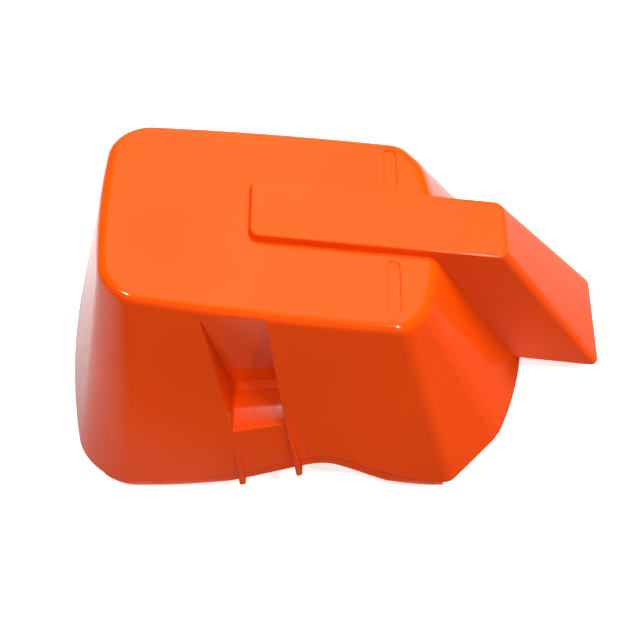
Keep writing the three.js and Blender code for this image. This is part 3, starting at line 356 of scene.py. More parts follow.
# ------------------------------------------------------------------ meshes
def new_object(name, vertices, faces):
    mesh = bpy.data.meshes.new(name)
    mesh.from_pydata([tuple(v) for v in vertices], [], faces)
    mesh.validate()
    work = bmesh.new()
    work.from_mesh(mesh)
    bmesh.ops.recalc_face_normals(work, faces=work.faces)
    work.to_mesh(mesh)
    work.free()
    obj = bpy.data.objects.new(name, mesh)
    bpy.context.scene.collection.objects.link(obj)
    return obj


def loft(name, rings):
    """Closed skin through rings with equal numbers of points, each end closed by one flat face."""
    count = len(rings[0])
    faces = []
    for level in range(len(rings) - 1):
        low = level * count
        for i in range(count):
            after = (i + 1) % count
            faces.append((low + i, low + after, low + count + after, low + count + i))
    faces.append(tuple(reversed(range(count))))
    last = (len(rings) - 1) * count
    faces.append(tuple(range(last, last + count)))
    return new_object(name, [v for ring in rings for v in ring], faces)


def prism(name, left, right):
    """Closed skin between two outlines of equal length."""
    return loft(name, [left, right])


def block(name, x, y, z):
    corners = [(x[0], y[0]), (x[1], y[0]), (x[1], y[1]), (x[0], y[1])]
    return loft(name, [[Vector((a, b, level)) for a, b in corners] for level in z])


def combine(name, base, steps):
    """The base joined with, cut by or kept inside each tool in turn, as one plain mesh."""
    for operation, tool in steps:
        modifier = base.modifiers.new(operation.title(), "BOOLEAN")
        modifier.operation = operation
        modifier.solver = "MANIFOLD"
        modifier.object = tool
    graph = bpy.context.evaluated_depsgraph_get()
    graph.update()
    mesh = bpy.data.meshes.new_from_object(base.evaluated_get(graph))
    mesh.name = name
    result = bpy.data.objects.new(name, mesh)
    bpy.context.scene.collection.objects.link(result)
    for obj in [base] + [tool for _, tool in steps]:
        if obj.name in bpy.data.objects:
            bpy.data.objects.remove(obj, do_unlink=True)
    if not mesh.polygons:
        raise RuntimeError(f"{name} came out empty")
    return result


def copy_of(obj, shift=(0, 0, 0)):
    twin = bpy.data.objects.new(obj.name + "_copy", obj.data.copy())
    twin.data.transform(Matrix.Translation(shift))
    bpy.context.scene.collection.objects.link(twin)
    return twin


def smooth(obj, angle=math.radians(34)):
    obj.data.polygons.foreach_set("use_smooth", [True] * len(obj.data.polygons))
    obj.data.set_sharp_from_angle(angle=angle)


# ------------------------------------------------------------------ cover pieces
def body(cover, inset, edge, bottom=None):
    """Body of the cover up to its top plate, moved in by inset, open below the rim to bottom."""
    low = [Vector((p.x, p.y, cover.rim_z)) for p in cover.rim(inset)]
    high = [Vector((p.x, p.y, cover.plate_z(p.x) - inset)) for p in cover.plate(inset)]
    middle = sum(high, Vector()) / len(high)
    middle.z = cover.plate_z(middle.x) - inset
    rings = [] if bottom is None else [[Vector((p.x, p.y, bottom)) for p in low]]
    down = [low[i] - high[i] for i in range(len(high))]
    inward = [(middle - high[i]).normalized() for i in range(len(high))]
    reach = [edge / down[i].length for i in range(len(high))]
    for k in range(WALL_STEPS):
        t = k / WALL_STEPS
        rings.append([low[i] - down[i] * (1 - reach[i]) * t for i in range(len(high))])
    steps = ROUND_STEPS if edge > 0 else 0
    for k in range(steps + 1):
        t = k / steps if steps else 0.0
        rings.append([
            high[i] + down[i] * reach[i] * (1 - t) ** 2 + inward[i] * edge * t ** 2
            for i in range(len(high))])
    if edge > 0:
        rings.append([high[i] + inward[i] * edge * 1.6 for i in range(len(high))])
    return loft("body", rings)


def hood(cover, inset, edge):
    h = cover.h
    root = cover.x1 - h.root
    top_end = cover.x1 + h.reach - inset
    mouth_end = cover.x1 + h.mouth_reach - inset * 1.2
    radius = h.corner_radius - inset / 2
    middle = cover.y + h.offset
    drop = OVERCUT if inset > 0 else 0.0

    def mouth_z(x):
        return cover.rim_z - h.mouth_drop + h.mouth_slope * (mouth_end - x) - drop

    low = [Vector((p.x, p.y, mouth_z(p.x)))
           for p in rectangle(root, mouth_end, h.mouth_half - inset, radius, middle)]
    rings = [low]
    steps = HOOD_ROUND_STEPS if edge > 0 else 0
    for k in range(steps + 1):
        t = k / steps if steps else 0.0
        draw_in = edge * t ** 2
        lower = edge * (1 - t) ** 2
        high = [Vector((p.x, p.y, cover.plate_z(p.x) + h.rise - inset)) for p in rectangle(
            root + draw_in, top_end - draw_in, h.half_width - inset - draw_in,
            max(0.0004, radius - draw_in), middle)]
        rings.append([b + (a - b).normalized() * lower for a, b in zip(low, high)])
    return loft("hood", rings)


def strap(cover):
    h = cover.h
    start, end = cover.x0 + h.start, cover.x1
    middle = cover.y + h.offset
    rings = []
    for grow, rise in ((0.001, -cover.c.wall / 2), (0.00035, 0.0), (0.0, h.rise - h.edge)):
        rings.append((grow, rise))
    for k in range(1, HOOD_ROUND_STEPS + 1):
        t = k / HOOD_ROUND_STEPS
        rings.append((-h.edge * t ** 2, h.rise - h.edge * (1 - t) ** 2))
    return loft("strap", [
        [Vector((p.x, p.y, cover.plate_z(p.x) + rise)) for p in rectangle(
            start - grow, end, h.half_width + grow / 2, h.corner, middle)]
        for grow, rise in rings])


def on_wall(cover, obj, side):
    """Turns a tool drawn upright on the rim line about the pocket's place, mirrored for the back wall."""
    place = Matrix.Translation((cover.x0 + cover.p.place, 0, cover.rim_z))
    turn = Matrix.Rotation(-cover.p.tilt, 4, "Y")
    mirror = Matrix.Scale(-1, 4, (0, 1, 0)) if side > 0 else Matrix.Identity(4)
    obj.data.transform(Matrix.Translation((0, cover.y, 0)) @ mirror @ place @ turn)
    if side > 0:
        obj.data.flip_normals()
    return obj


def pocket(cover, grow, side):
    p = cover.p
    back = -cover.half + p.back_low + grow
    outer = -cover.half - OVERCUT
    high = p.high + grow + OVERCUT
    lean = (p.back_high - p.back_low) / (p.high - p.floor)
    floor = p.floor - grow
    profile = [(outer, floor + p.fall * (outer - back) - FLOOR_LIP)]
    if grow == 0:
        profile += [(-cover.half + place, floor + rise) for place, rise in FLOOR_STEPS]
        profile.append((back - LAST_STEP[0], floor + LAST_STEP[1]))
    profile += [
        (back - p.fillet, floor - p.fall * p.fillet),
        (back - p.fillet * 0.3, floor + p.fillet * 0.3),
        (back, floor + p.fillet),
        (back + lean * (high - p.floor), high),
        (outer, high),
    ]

    def half_at(z):
        share = (z - p.floor) / (p.high - p.floor)
        return grow + (p.low_width + (p.top_width - p.low_width) * share) / 2

    left = [Vector((-half_at(z), y, z)) for y, z in profile]
    right = [Vector((half_at(z), y, z)) for y, z in profile]
    return on_wall(cover, prism("pocket", left, right), side)


def pocket_rib(cover, hand, side):
    p = cover.p
    lean = cover.wall_lean(p.place)

    def ring(z, share):
        near = p.low_width / 2
        far = near + p.rib_width * share
        wall = -cover.half + z * lean
        front, back = wall - p.rib_proud * share, wall + cover.c.wall / 2
        x0, x1 = (near, far) if hand > 0 else (-far, -near)
        soft = (x1 - x0) * RIB_SOFTENING
        return [Vector((x0, back, z)), Vector((x0, front + soft, z)), Vector((x0 + soft, front, z)),
                Vector((x1 - soft, front, z)), Vector((x1, front + soft, z)), Vector((x1, back, z))]

    rings = []
    top = p.floor + p.rib_rise
    for k in range(RIB_STEPS + 1):
        t = k / RIB_STEPS
        share = max(RIB_TIP_SHARE, (1 - t) ** RIB_TAPER)
        rings.append(ring(-cover.c.tongue_depth * 2 * (1 - t) + top * t, share))
    return on_wall(cover, loft("rib", rings), side)


def arch_band(cover, x0, x1, z0, z1, steps=90):
    """Band over the plain rim between two heights, following the relief, on each long wall."""
    lower, upper = [], []
    for k in range(steps + 1):
        x = x0 + (x1 - x0) * k / steps
        lift = cover.arch_lift(x)
        lower.append((x, z0 + (lift if z0 > 0 else 0)))
        upper.append((x, z1 + lift))
    profile = lower + upper[::-1]
    bands = []
    for side in (-1, 1):
        near = cover.y + side * (cover.half - 0.008)
        far = cover.y + side * (cover.half + OVERCUT)
        bands.append(prism("band", [Vector((x, near, z)) for x, z in profile],
                           [Vector((x, far, z)) for x, z in profile]))
    return bands


def tongue(cover, cavity):
    """Lip that hangs inside the front and back walls, with a rounded end by the hood."""
    c = cover.c
    skin = body(cover, c.tongue_inset, 0, cover.foot_z)
    lip = combine("lip", skin, [("DIFFERENCE", copy_of(cavity))])
    start, end = cover.x0 + c.tongue_start, cover.x1 - c.tongue_end
    pieces = []
    for band in arch_band(cover, start, end, cover.foot_z, cover.rim_z + c.tongue_root):
        pieces.append(combine("tongue", copy_of(lip), [("INTERSECT", band)]))
    bpy.data.objects.remove(lip, do_unlink=True)
    return pieces


def witness_slots(cover, outer):
    """Shallow slots in the top plate, one on each side of the strap."""
    c = cover.c
    x, half = cover.x0 + c.slot_place, c.slot_width / 2
    middle = cover.y + cover.h.offset
    tools = []
    for side, far in ((-1, c.slot_front), (1, c.slot_rear)):
        y0, y1 = sorted((middle + side * c.slot_near, middle + side * far))
        ring = rectangle(x - half, x + half, (y1 - y0) / 2, half * 0.94, (y0 + y1) / 2, 3)
        tool = loft("slot", [[Vector((p.x, p.y, z)) for p in ring] for z in (0.02, 0.08)])
        tools.append(combine("slot", tool, [("DIFFERENCE", copy_of(outer, (0, 0, -c.slot_depth)))]))
    return tools


def inner_webs(cover):
    """Webs the cover stands on and the ribs its latches hook over, kept inside its wall."""
    c = cover.c
    webs = []
    low = cover.x0 + c.catch_place - c.catch_length / 2
    height = cover.rim_z + c.catch_height
    for side in (-1, 1):
        outer = cover.y + side * cover.half
        inner = outer - side * (c.wall + c.web_depth)
        for place in WEB_PLACES:
            x = cover.x0 + place
            webs.append(block("web", (x, x + c.web_width), sorted((inner, outer)),
                              (cover.foot_z + 0.0003, cover.rim_z + c.web_height)))
        edge = outer - side * (c.wall + c.catch_height * cover.wall_lean(c.catch_place) + c.catch_depth)
        webs.append(block("catch", (low, low + c.catch_length), sorted((edge, outer)),
                          (height, height + c.catch_thickness)))
    keep = body(cover, c.wall / 2, 0, -OVERCUT)
    inside = [combine("web", web, [("INTERSECT", copy_of(keep))]) for web in webs]
    bpy.data.objects.remove(keep, do_unlink=True)
    return inside


def cover_object(cover):
    """The whole moulded cover as one fine skin."""
    c, h = cover.c, cover.h
    outer = body(cover, 0, c.plate_edge)
    cavity = body(cover, c.wall, 0, -OVERCUT)
    duct = hood(cover, h.wall, 0)
    window = combine("window", copy_of(duct), [("INTERSECT", block(
        "window", (cover.x1 - h.root, cover.x1 + h.mouth_reach), (-0.2, 0.2),
        (cover.rim_z + h.window_low, cover.rim_z + h.window_high)))])
    outside_duct = combine("duct", duct, [("DIFFERENCE", copy_of(outer))])
    steps = [("UNION", hood(cover, 0, h.edge)), ("UNION", strap(cover)), ("DIFFERENCE", copy_of(cavity)),
             ("DIFFERENCE", outside_duct), ("DIFFERENCE", window)]
    steps += [("DIFFERENCE", slot) for slot in witness_slots(cover, outer)]
    far_left = cover.x0 - 0.05
    steps += [("DIFFERENCE", band) for band in arch_band(cover, far_left, cover.x1, -OVERCUT, cover.rim_z)]
    steps += [("UNION", piece) for piece in tongue(cover, cavity)]
    middle = body(cover, c.wall / 2, 0, cover.foot_z)
    for side in (-1, 1):
        lining = combine("lining", pocket(cover, cover.p.lining, side), [("INTERSECT", copy_of(middle))])
        steps += [("UNION", lining), ("DIFFERENCE", pocket(cover, 0, side))]
    bpy.data.objects.remove(middle, do_unlink=True)
    for side in (-1, 1):
        for hand in (-1, 1):
            bands = arch_band(cover, far_left, cover.x1, -OVERCUT, cover.foot_z)
            rib = combine("rib", pocket_rib(cover, hand, side), [("DIFFERENCE", band) for band in bands])
            steps.append(("UNION", rib))
    steps += [("UNION", web) for web in inner_webs(cover)]
    bpy.data.objects.remove(cavity, do_unlink=True)
    return combine("cover_skin", outer, steps)


# ------------------------------------------------------------------ node trees
def link(tree, source, target):
    tree.links.new(source, target)


def geometry_group(name, inputs):
    """A geometry node tree with a Geometry input and output and the named inputs."""
    tree = bpy.data.node_groups.new(name, "GeometryNodeTree")
    tree.interface.new_socket("Geometry", in_out="INPUT", socket_type="NodeSocketGeometry")
    for label, kind, default in inputs:
        socket = tree.interface.new_socket(label, in_out="INPUT", socket_type=kind)
        if default is not None:
            socket.default_value = default
    tree.interface.new_socket("Geometry", in_out="OUTPUT", socket_type="NodeSocketGeometry")
    return tree, tree.nodes.new("NodeGroupInput"), tree.nodes.new("NodeGroupOutput")


def finish_tree(tree, group_in, group_out, geometry):
    """Ends the tree: instances made real, then the piece's own material."""
    real = tree.nodes.new("GeometryNodeRealizeInstances")
    paint = tree.nodes.new("GeometryNodeSetMaterial")
    link(tree, geometry, real.inputs[0])
    link(tree, real.outputs[0], paint.inputs["Geometry"])
    link(tree, group_in.outputs["Material"], paint.inputs["Material"])
    link(tree, paint.outputs[0], group_out.inputs[0])


def grown(name, tree, values, base=None):
    """A plain mesh object holding what the tree makes from base with these input values."""
    seed = bpy.data.objects.new(name + "_seed", base or bpy.data.meshes.new(name + "_seed"))
    bpy.context.scene.collection.objects.link(seed)
    modifier = seed.modifiers.new("Grow", "NODES")
    modifier.node_group = tree
    sockets = {item.name: item.identifier for item in tree.interface.items_tree
               if item.item_type == "SOCKET" and item.in_out == "INPUT"}
    for label, value in values.items():
        modifier[sockets[label]] = value
    seed.update_tag()
    graph = bpy.context.evaluated_depsgraph_get()
    graph.update()
    mesh = bpy.data.meshes.new_from_object(seed.evaluated_get(graph))
    bpy.data.objects.remove(seed, do_unlink=True)
    if not mesh.polygons:
        raise RuntimeError(f"{name} came out empty")
    mesh.name = name
    obj = bpy.data.objects.new(name, mesh)
    bpy.context.scene.collection.objects.link(obj)
    return obj


def coil_tree():
    """Wire wound along X, from its turns, pitch, radius and wire."""
    tree, group_in, group_out = geometry_group("WireCoil", [
        ("Turns", "NodeSocketFloat", 2.5), ("Pitch", "NodeSocketFloat", 0.00095),
        ("Radius", "NodeSocketFloat", 0.0022), ("Wire", "NodeSocketFloat", 0.00035),
        ("Material", "NodeSocketMaterial", None)])
    spiral = tree.nodes.new("GeometryNodeCurveSpiral")
    spiral.inputs["Resolution"].default_value = 48
    height = tree.nodes.new("ShaderNodeMath")
    height.operation = "MULTIPLY"
    link(tree, group_in.outputs["Turns"], height.inputs[0])
    link(tree, group_in.outputs["Pitch"], height.inputs[1])
    link(tree, group_in.outputs["Turns"], spiral.inputs["Rotations"])
    link(tree, group_in.outputs["Radius"], spiral.inputs["Start Radius"])
    link(tree, group_in.outputs["Radius"], spiral.inputs["End Radius"])
    link(tree, height.outputs[0], spiral.inputs["Height"])
    section = tree.nodes.new("GeometryNodeCurvePrimitiveCircle")
    section.inputs["Resolution"].default_value = 14
    link(tree, group_in.outputs["Wire"], section.inputs["Radius"])
    sweep = tree.nodes.new("GeometryNodeCurveToMesh")
    sweep.inputs["Fill Caps"].default_value = True
    link(tree, spiral.outputs[0], sweep.inputs["Curve"])
    link(tree, section.outputs[0], sweep.inputs["Profile Curve"])
    turn = tree.nodes.new("GeometryNodeTransform")
    turn.inputs["Rotation"].default_value = (0, math.pi / 2, 0)
    link(tree, sweep.outputs[0], turn.inputs["Geometry"])
    soft = tree.nodes.new("GeometryNodeSetShadeSmooth")
    link(tree, turn.outputs[0], soft.inputs["Geometry"])
    finish_tree(tree, group_in, group_out, soft.outputs["Geometry"])
    return tree


def thread_tree():
    """Upright stud: a plain core with one ridge repeated along its thread."""
    tree, group_in, group_out = geometry_group("ThreadedStud", [
        ("Radius", "NodeSocketFloat", 0.003), ("Height", "NodeSocketFloat", 0.04),
        ("Thread", "NodeSocketFloat", 0.02), ("Pitch", "NodeSocketFloat", 0.0008),
        ("Material", "NodeSocketMaterial", None)])

    def maths(operation, a, b):
        node = tree.nodes.new("ShaderNodeMath")
        node.operation = operation
        for socket, value in zip(node.inputs, (a, b)):
            if isinstance(value, float):
                socket.default_value = value
            else:
                link(tree, value, socket)
        return node.outputs[0]

    radius, height = group_in.outputs["Radius"], group_in.outputs["Height"]
    root = maths("MULTIPLY", radius, 0.88)
    core = tree.nodes.new("GeometryNodeMeshCylinder")
    core.inputs["Vertices"].default_value = 48
    link(tree, root, core.inputs["Radius"])
    link(tree, height, core.inputs["Depth"])
    shank = tree.nodes.new("GeometryNodeMeshCylinder")
    shank.inputs["Vertices"].default_value = 48
    link(tree, radius, shank.inputs["Radius"])
    plain = maths("SUBTRACT", height, group_in.outputs["Thread"])
    link(tree, plain, shank.inputs["Depth"])
    lower = tree.nodes.new("GeometryNodeTransform")
    drop = tree.nodes.new("ShaderNodeCombineXYZ")
    link(tree, maths("MULTIPLY", group_in.outputs["Thread"], -0.5), drop.inputs["Z"])
    link(tree, shank.outputs["Mesh"], lower.inputs["Geometry"])
    link(tree, drop.outputs[0], lower.inputs["Translation"])
    ridge = tree.nodes.new("GeometryNodeMeshCone")
    ridge.inputs["Vertices"].default_value = 48
    link(tree, radius, ridge.inputs["Radius Bottom"])
    link(tree, root, ridge.inputs["Radius Top"])
    link(tree, maths("MULTIPLY", group_in.outputs["Pitch"], 0.8), ridge.inputs["Depth"])
    line = tree.nodes.new("GeometryNodeMeshLine")
    line.mode = "OFFSET"
    count = maths("DIVIDE", group_in.outputs["Thread"], group_in.outputs["Pitch"])
    link(tree, maths("SUBTRACT", count, 1.0), line.inputs["Count"])
    first = tree.nodes.new("ShaderNodeCombineXYZ")
    half = maths("MULTIPLY", height, 0.5)
    link(tree, maths("SUBTRACT", half, group_in.outputs["Thread"]), first.inputs["Z"])
    link(tree, first.outputs[0], line.inputs["Start Location"])
    step = tree.nodes.new("ShaderNodeCombineXYZ")
    link(tree, group_in.outputs["Pitch"], step.inputs["Z"])
    link(tree, step.outputs[0], line.inputs["Offset"])
    repeat = tree.nodes.new("GeometryNodeInstanceOnPoints")
    link(tree, line.outputs[0], repeat.inputs["Points"])
    link(tree, ridge.outputs["Mesh"], repeat.inputs["Instance"])
    join = tree.nodes.new("GeometryNodeJoinGeometry")
    for part in (core.outputs["Mesh"], lower.outputs[0], repeat.outputs[0]):
        link(tree, part, join.inputs[0])
    finish_tree(tree, group_in, group_out, join.outputs[0])
    return tree


def foam_tree():
    """Skin of open-cell foam: pores pressed in along the normal."""
    tree, group_in, group_out = geometry_group("FoamSkin", [
        ("Pore", "NodeSocketFloat", 0.0016), ("Depth", "NodeSocketFloat", 0.0004),
        ("Material", "NodeSocketMaterial", None)])
    cells = tree.nodes.new("ShaderNodeTexVoronoi")
    cells.feature = "SMOOTH_F1"
    scale = tree.nodes.new("ShaderNodeMath")
    scale.operation = "DIVIDE"
    scale.inputs[0].default_value = 1.0
    link(tree, group_in.outputs["Pore"], scale.inputs[1])
    link(tree, scale.outputs[0], cells.inputs["Scale"])
    place = tree.nodes.new("GeometryNodeInputPosition")
    link(tree, place.outputs[0], cells.inputs["Vector"])
    depth = tree.nodes.new("ShaderNodeMath")
    depth.operation = "MULTIPLY"
    link(tree, cells.outputs["Distance"], depth.inputs[0])
    link(tree, group_in.outputs["Depth"], depth.inputs[1])
    flip = tree.nodes.new("ShaderNodeMath")
    flip.operation = "MULTIPLY"
    flip.inputs[1].default_value = -1.0
    link(tree, depth.outputs[0], flip.inputs[0])
    normal = tree.nodes.new("GeometryNodeInputNormal")
    along = tree.nodes.new("ShaderNodeVectorMath")
    along.operation = "SCALE"
    link(tree, normal.outputs[0], along.inputs[0])
    link(tree, flip.outputs[0], along.inputs["Scale"])
    move = tree.nodes.new("GeometryNodeSetPosition")
    link(tree, group_in.outputs["Geometry"], move.inputs["Geometry"])
    link(tree, along.outputs[0], move.inputs["Offset"])
    soft = tree.nodes.new("GeometryNodeSetShadeSmooth")
    link(tree, move.outputs[0], soft.inputs["Geometry"])
    finish_tree(tree, group_in, group_out, soft.outputs["Geometry"])
    return tree


# ------------------------------------------------------------------ finishes
def shader_group(name, inputs, outputs):
    tree = bpy.data.node_groups.get(name)
    if tree:
        return tree, None, None
    tree = bpy.data.node_groups.new(name, "ShaderNodeTree")
    for label, default in inputs:
        socket = tree.interface.new_socket(label, in_out="INPUT", socket_type="NodeSocketFloat")
        socket.default_value = default
    for label in outputs:
        tree.interface.new_socket(label, in_out="OUTPUT", socket_type="NodeSocketFloat")
    return tree, tree.nodes.new("NodeGroupInput"), tree.nodes.new("NodeGroupOutput")


def grain_group():
    """Height and tone of a fine moulded grain over a slow waviness, in the object's own space."""
    tree, group_in, group_out = shader_group(
        "MouldedGrain", [("Scale", 3000.0), ("Wave Scale", 60.0), ("Wave", 0.3)],
        ["Height", "Tone", "Speckle"])
    if group_in is None:
        return tree
    place = tree.nodes.new("ShaderNodeTexCoord")
    fine = tree.nodes.new("ShaderNodeTexNoise")
    fine.inputs["Detail"].default_value = 3.0
    fine.inputs["Roughness"].default_value = 0.6
    wave = tree.nodes.new("ShaderNodeTexNoise")
    wave.inputs["Detail"].default_value = 1.0
    link(tree, place.outputs["Object"], fine.inputs["Vector"])
    link(tree, place.outputs["Object"], wave.inputs["Vector"])
    link(tree, group_in.outputs["Scale"], fine.inputs["Scale"])
    link(tree, group_in.outputs["Wave Scale"], wave.inputs["Scale"])
    weigh = tree.nodes.new("ShaderNodeMath")
    weigh.operation = "MULTIPLY_ADD"
    link(tree, wave.outputs["Fac"], weigh.inputs[0])
    link(tree, group_in.outputs["Wave"], weigh.inputs[1])
    link(tree, fine.outputs["Fac"], weigh.inputs[2])
    link(tree, weigh.outputs[0], group_out.inputs["Height"])
    link(tree, wave.outputs["Fac"], group_out.inputs["Tone"])
    link(tree, fine.outputs["Fac"], group_out.inputs["Speckle"])
    return tree


def edge_group():
    """Mask of worn outer edges: where the rounded normal leaves the face's own, broken up by noise."""
    tree, group_in, group_out = shader_group("EdgeWear", [("Radius", 0.0006), ("Break Up", 900.0)], ["Mask"])
    if group_in is None:
        return tree
    bevel = tree.nodes.new("ShaderNodeBevel")
    bevel.samples = 4
    link(tree, group_in.outputs["Radius"], bevel.inputs["Radius"])
    face = tree.nodes.new("ShaderNodeNewGeometry")
    dot = tree.nodes.new("ShaderNodeVectorMath")
    dot.operation = "DOT_PRODUCT"
    link(tree, bevel.outputs[0], dot.inputs[0])
    link(tree, face.outputs["Normal"], dot.inputs[1])
    level = tree.nodes.new("ShaderNodeMapRange")
    level.inputs["From Min"].default_value = 0.995
    level.inputs["From Max"].default_value = 0.90
    link(tree, dot.outputs["Value"], level.inputs["Value"])
    place = tree.nodes.new("ShaderNodeTexCoord")
    noise = tree.nodes.new("ShaderNodeTexNoise")
    link(tree, place.outputs["Object"], noise.inputs["Vector"])
    link(tree, group_in.outputs["Break Up"], noise.inputs["Scale"])
    cut = tree.nodes.new("ShaderNodeMapRange")
    cut.inputs["From Min"].default_value = 0.45
    cut.inputs["From Max"].default_value = 0.62
    link(tree, noise.outputs["Fac"], cut.inputs["Value"])
    both = tree.nodes.new("ShaderNodeMath")
    both.operation = "MULTIPLY"
    link(tree, level.outputs[0], both.inputs[0])
    link(tree, cut.outputs[0], both.inputs[1])
    link(tree, both.outputs[0], group_out.inputs["Mask"])
    return tree


def use_group(tree, group, values):
    node = tree.nodes.new("ShaderNodeGroup")
    node.node_tree = group
    for label, value in values.items():
        node.inputs[label].default_value = value
    return node


def mixed(tree, factor, first, second, strength=1.0):
    """Colour that goes from first to second with the factor."""
    node = tree.nodes.new("ShaderNodeMix")
    node.data_type = "RGBA"
    scale = tree.nodes.new("ShaderNodeMath")
    scale.operation = "MULTIPLY"
    scale.inputs[1].default_value = strength
    link(tree, factor, scale.inputs[0])
    link(tree, scale.outputs[0], node.inputs["Factor"])
    for label, colour in (("A", first), ("B", second)):
        socket = [s for s in node.inputs if s.name == label and s.type == "RGBA"][0]
        if isinstance(colour, bpy.types.NodeSocket):
            link(tree, colour, socket)
        else:
            socket.default_value = (*colour, 1)
    return [s for s in node.outputs if s.type == "RGBA"][0]


def ranged(tree, value, low, high):
    node = tree.nodes.new("ShaderNodeMapRange")
    node.inputs["From Min"].default_value = 0.3
    node.inputs["From Max"].default_value = 0.7
    node.inputs["To Min"].default_value = low
    node.inputs["To Max"].default_value = high
    link(tree, value, node.inputs["Value"])
    return node.outputs[0]


def shaded(colour, share):
    return tuple(min(1.0, part * share) for part in colour)


def finish(name, colour, rough, metal=0.0, grain=3000.0, bump=0.00002, wear=0.25, worn=None, edge=0.0004,
           tone=0.12, wave=0.3):
    """A procedural finish: grain in bump, tone and roughness, and paler worn edges."""
    material = bpy.data.materials.new("fine_" + name)
    material.use_nodes = True
    tree = material.node_tree
    tree.nodes.clear()
    shader = tree.nodes.new("ShaderNodeBsdfPrincipled")
    output = tree.nodes.new("ShaderNodeOutputMaterial")
    link(tree, shader.outputs[0], output.inputs["Surface"])
    texture = use_group(tree, grain_group(), {"Scale": grain, "Wave Scale": grain / 45, "Wave": wave})
    edges = use_group(tree, edge_group(), {"Radius": edge * 1.4, "Break Up": grain / 3})
    base = mixed(tree, texture.outputs["Tone"], shaded(colour, 1 - tone), shaded(colour, 1 + tone))
    speckled = mixed(tree, texture.outputs["Speckle"], base, shaded(colour, 1 - 2 * tone), 0.35)
    painted = mixed(tree, edges.outputs["Mask"], speckled, worn or shaded(colour, 1.6), wear)
    link(tree, painted, shader.inputs["Base Color"])
    roughness = ranged(tree, texture.outputs["Speckle"], rough * 0.85, rough * 1.18)
    link(tree, roughness, shader.inputs["Roughness"])
    bevel = tree.nodes.new("ShaderNodeBevel")
    bevel.samples = 6
    bevel.inputs["Radius"].default_value = edge
    relief = tree.nodes.new("ShaderNodeBump")
    relief.inputs["Strength"].default_value = 1.0
    relief.inputs["Distance"].default_value = bump
    link(tree, texture.outputs["Height"], relief.inputs["Height"])
    link(tree, bevel.outputs[0], relief.inputs["Normal"])
    link(tree, relief.outputs[0], shader.inputs["Normal"])
    shader.inputs["Metallic"].default_value = metal
    return material


def floor_finish():
    """Pale floor that stays even to the camera, with a painted light ramp for bounced and mirrored light:
    its colour is pale behind the object and to its left and dark before it, so it throws more light up
    behind the object than before it.
    """
    material = bpy.data.materials.new("pale_floor")
    material.use_nodes = True
    tree = material.node_tree
    shader = tree.nodes["Principled BSDF"]
    shader.inputs["Roughness"].default_value = 0.9
    shader.inputs["Specular IOR Level"].default_value = 0.0
    place = tree.nodes.new("ShaderNodeTexCoord")
    across = tree.nodes.new("ShaderNodeVectorMath")
    across.operation = "DOT_PRODUCT"
    across.inputs[1].default_value = (-0.7, 1.0, 0.0)
    link(tree, place.outputs["Object"], across.inputs[0])
    # Painted light: to every ray but the camera's, the floor's colour ramps from dark in front of the object
    # to pale behind it and to its left.
    fall = tree.nodes.new("ShaderNodeMapRange")
    fall.interpolation_type = "SMOOTHSTEP"
    for label, value in (("From Min", -0.10), ("From Max", 0.06), ("To Min", 0.06), ("To Max", 0.64)):
        fall.inputs[label].default_value = value
    link(tree, across.outputs["Value"], fall.inputs["Value"])
    # To the camera the floor is an even pale; all other rays see the painted light ramp.
    path = tree.nodes.new("ShaderNodeLightPath")
    painted_floor_light = tree.nodes.new("ShaderNodeMath")
    painted_floor_light.operation = "MAXIMUM"
    link(tree, fall.outputs[0], painted_floor_light.inputs[0])
    link(tree, path.outputs["Is Camera Ray"], painted_floor_light.inputs[1])
    link(tree, mixed(tree, painted_floor_light.outputs[0], (0, 0, 0), (0.9, 0.9, 0.9)), shader.inputs["Base Color"])
    shader.inputs["Emission Color"].default_value = (1, 1, 1, 1)
    glow = tree.nodes.new("ShaderNodeMath")
    glow.operation = "MULTIPLY"
    glow.inputs[1].default_value = 0.7
    link(tree, path.outputs["Is Camera Ray"], glow.inputs[0])
    link(tree, glow.outputs[0], shader.inputs["Emission Strength"])
    side = tree.nodes.new("ShaderNodeNewGeometry")
    opened = tree.nodes.new("ShaderNodeMath")
    opened.operation = "MAXIMUM"
    link(tree, side.outputs["Backfacing"], opened.inputs[0])
    link(tree, path.outputs["Is Shadow Ray"], opened.inputs[1])
    above = tree.nodes.new("ShaderNodeMath")
    above.operation = "SUBTRACT"
    above.inputs[0].default_value = 1.0
    link(tree, opened.outputs[0], above.inputs[1])
    link(tree, above.outputs[0], shader.inputs["Alpha"])
    return material


def finishes(scene):
    """Makes every finish once, each named after its slot."""
    f = scene.housing_finish
    finish("orange_plastic", tuple(f.orange), 0.12, grain=1300, bump=0.000008, wear=0.10,
           worn=(1.0, 0.16, 0.03), edge=f.edge, tone=0.15, wave=1.2)
    finish("black_plastic", tuple(f.black), 0.48, grain=2200, bump=0.00003,
           worn=(0.09, 0.09, 0.095), edge=0.0003)
    finish("gasket_fibre", (0.05, 0.05, 0.055), 0.85, grain=1400, bump=0.00006, tone=0.3)
    finish("rubber", tuple(f.rubber), 0.72, grain=1800, bump=0.00002, edge=0.0003)
    finish("aluminium", (0.58, 0.59, 0.60), 0.34, metal=1, grain=1500, bump=0.00001, tone=0.08)
    finish("steel", tuple(f.steel), 0.27, metal=1, grain=2400, bump=0.000006, tone=0.08)
    finish("spring_steel", (0.30, 0.31, 0.35), 0.30, metal=1, grain=2400, bump=0.000006)
    finish("steel_screen", (0.50, 0.51, 0.52), 0.38, metal=1, grain=1900, bump=0.00001)
    finish("zinc", tuple(f.zinc), 0.36, metal=1, grain=1300, bump=0.000012, tone=0.16,
           worn=(0.75, 0.75, 0.74))
    finish("foam", tuple(f.foam), 0.95, grain=900, bump=0.0003, tone=0.45, wear=0.0)


def finish_of(slot):
    material = bpy.data.materials.get("fine_" + slot)
    if material is None:
        raise RuntimeError(f"finish {slot} isn't made yet")
    return material


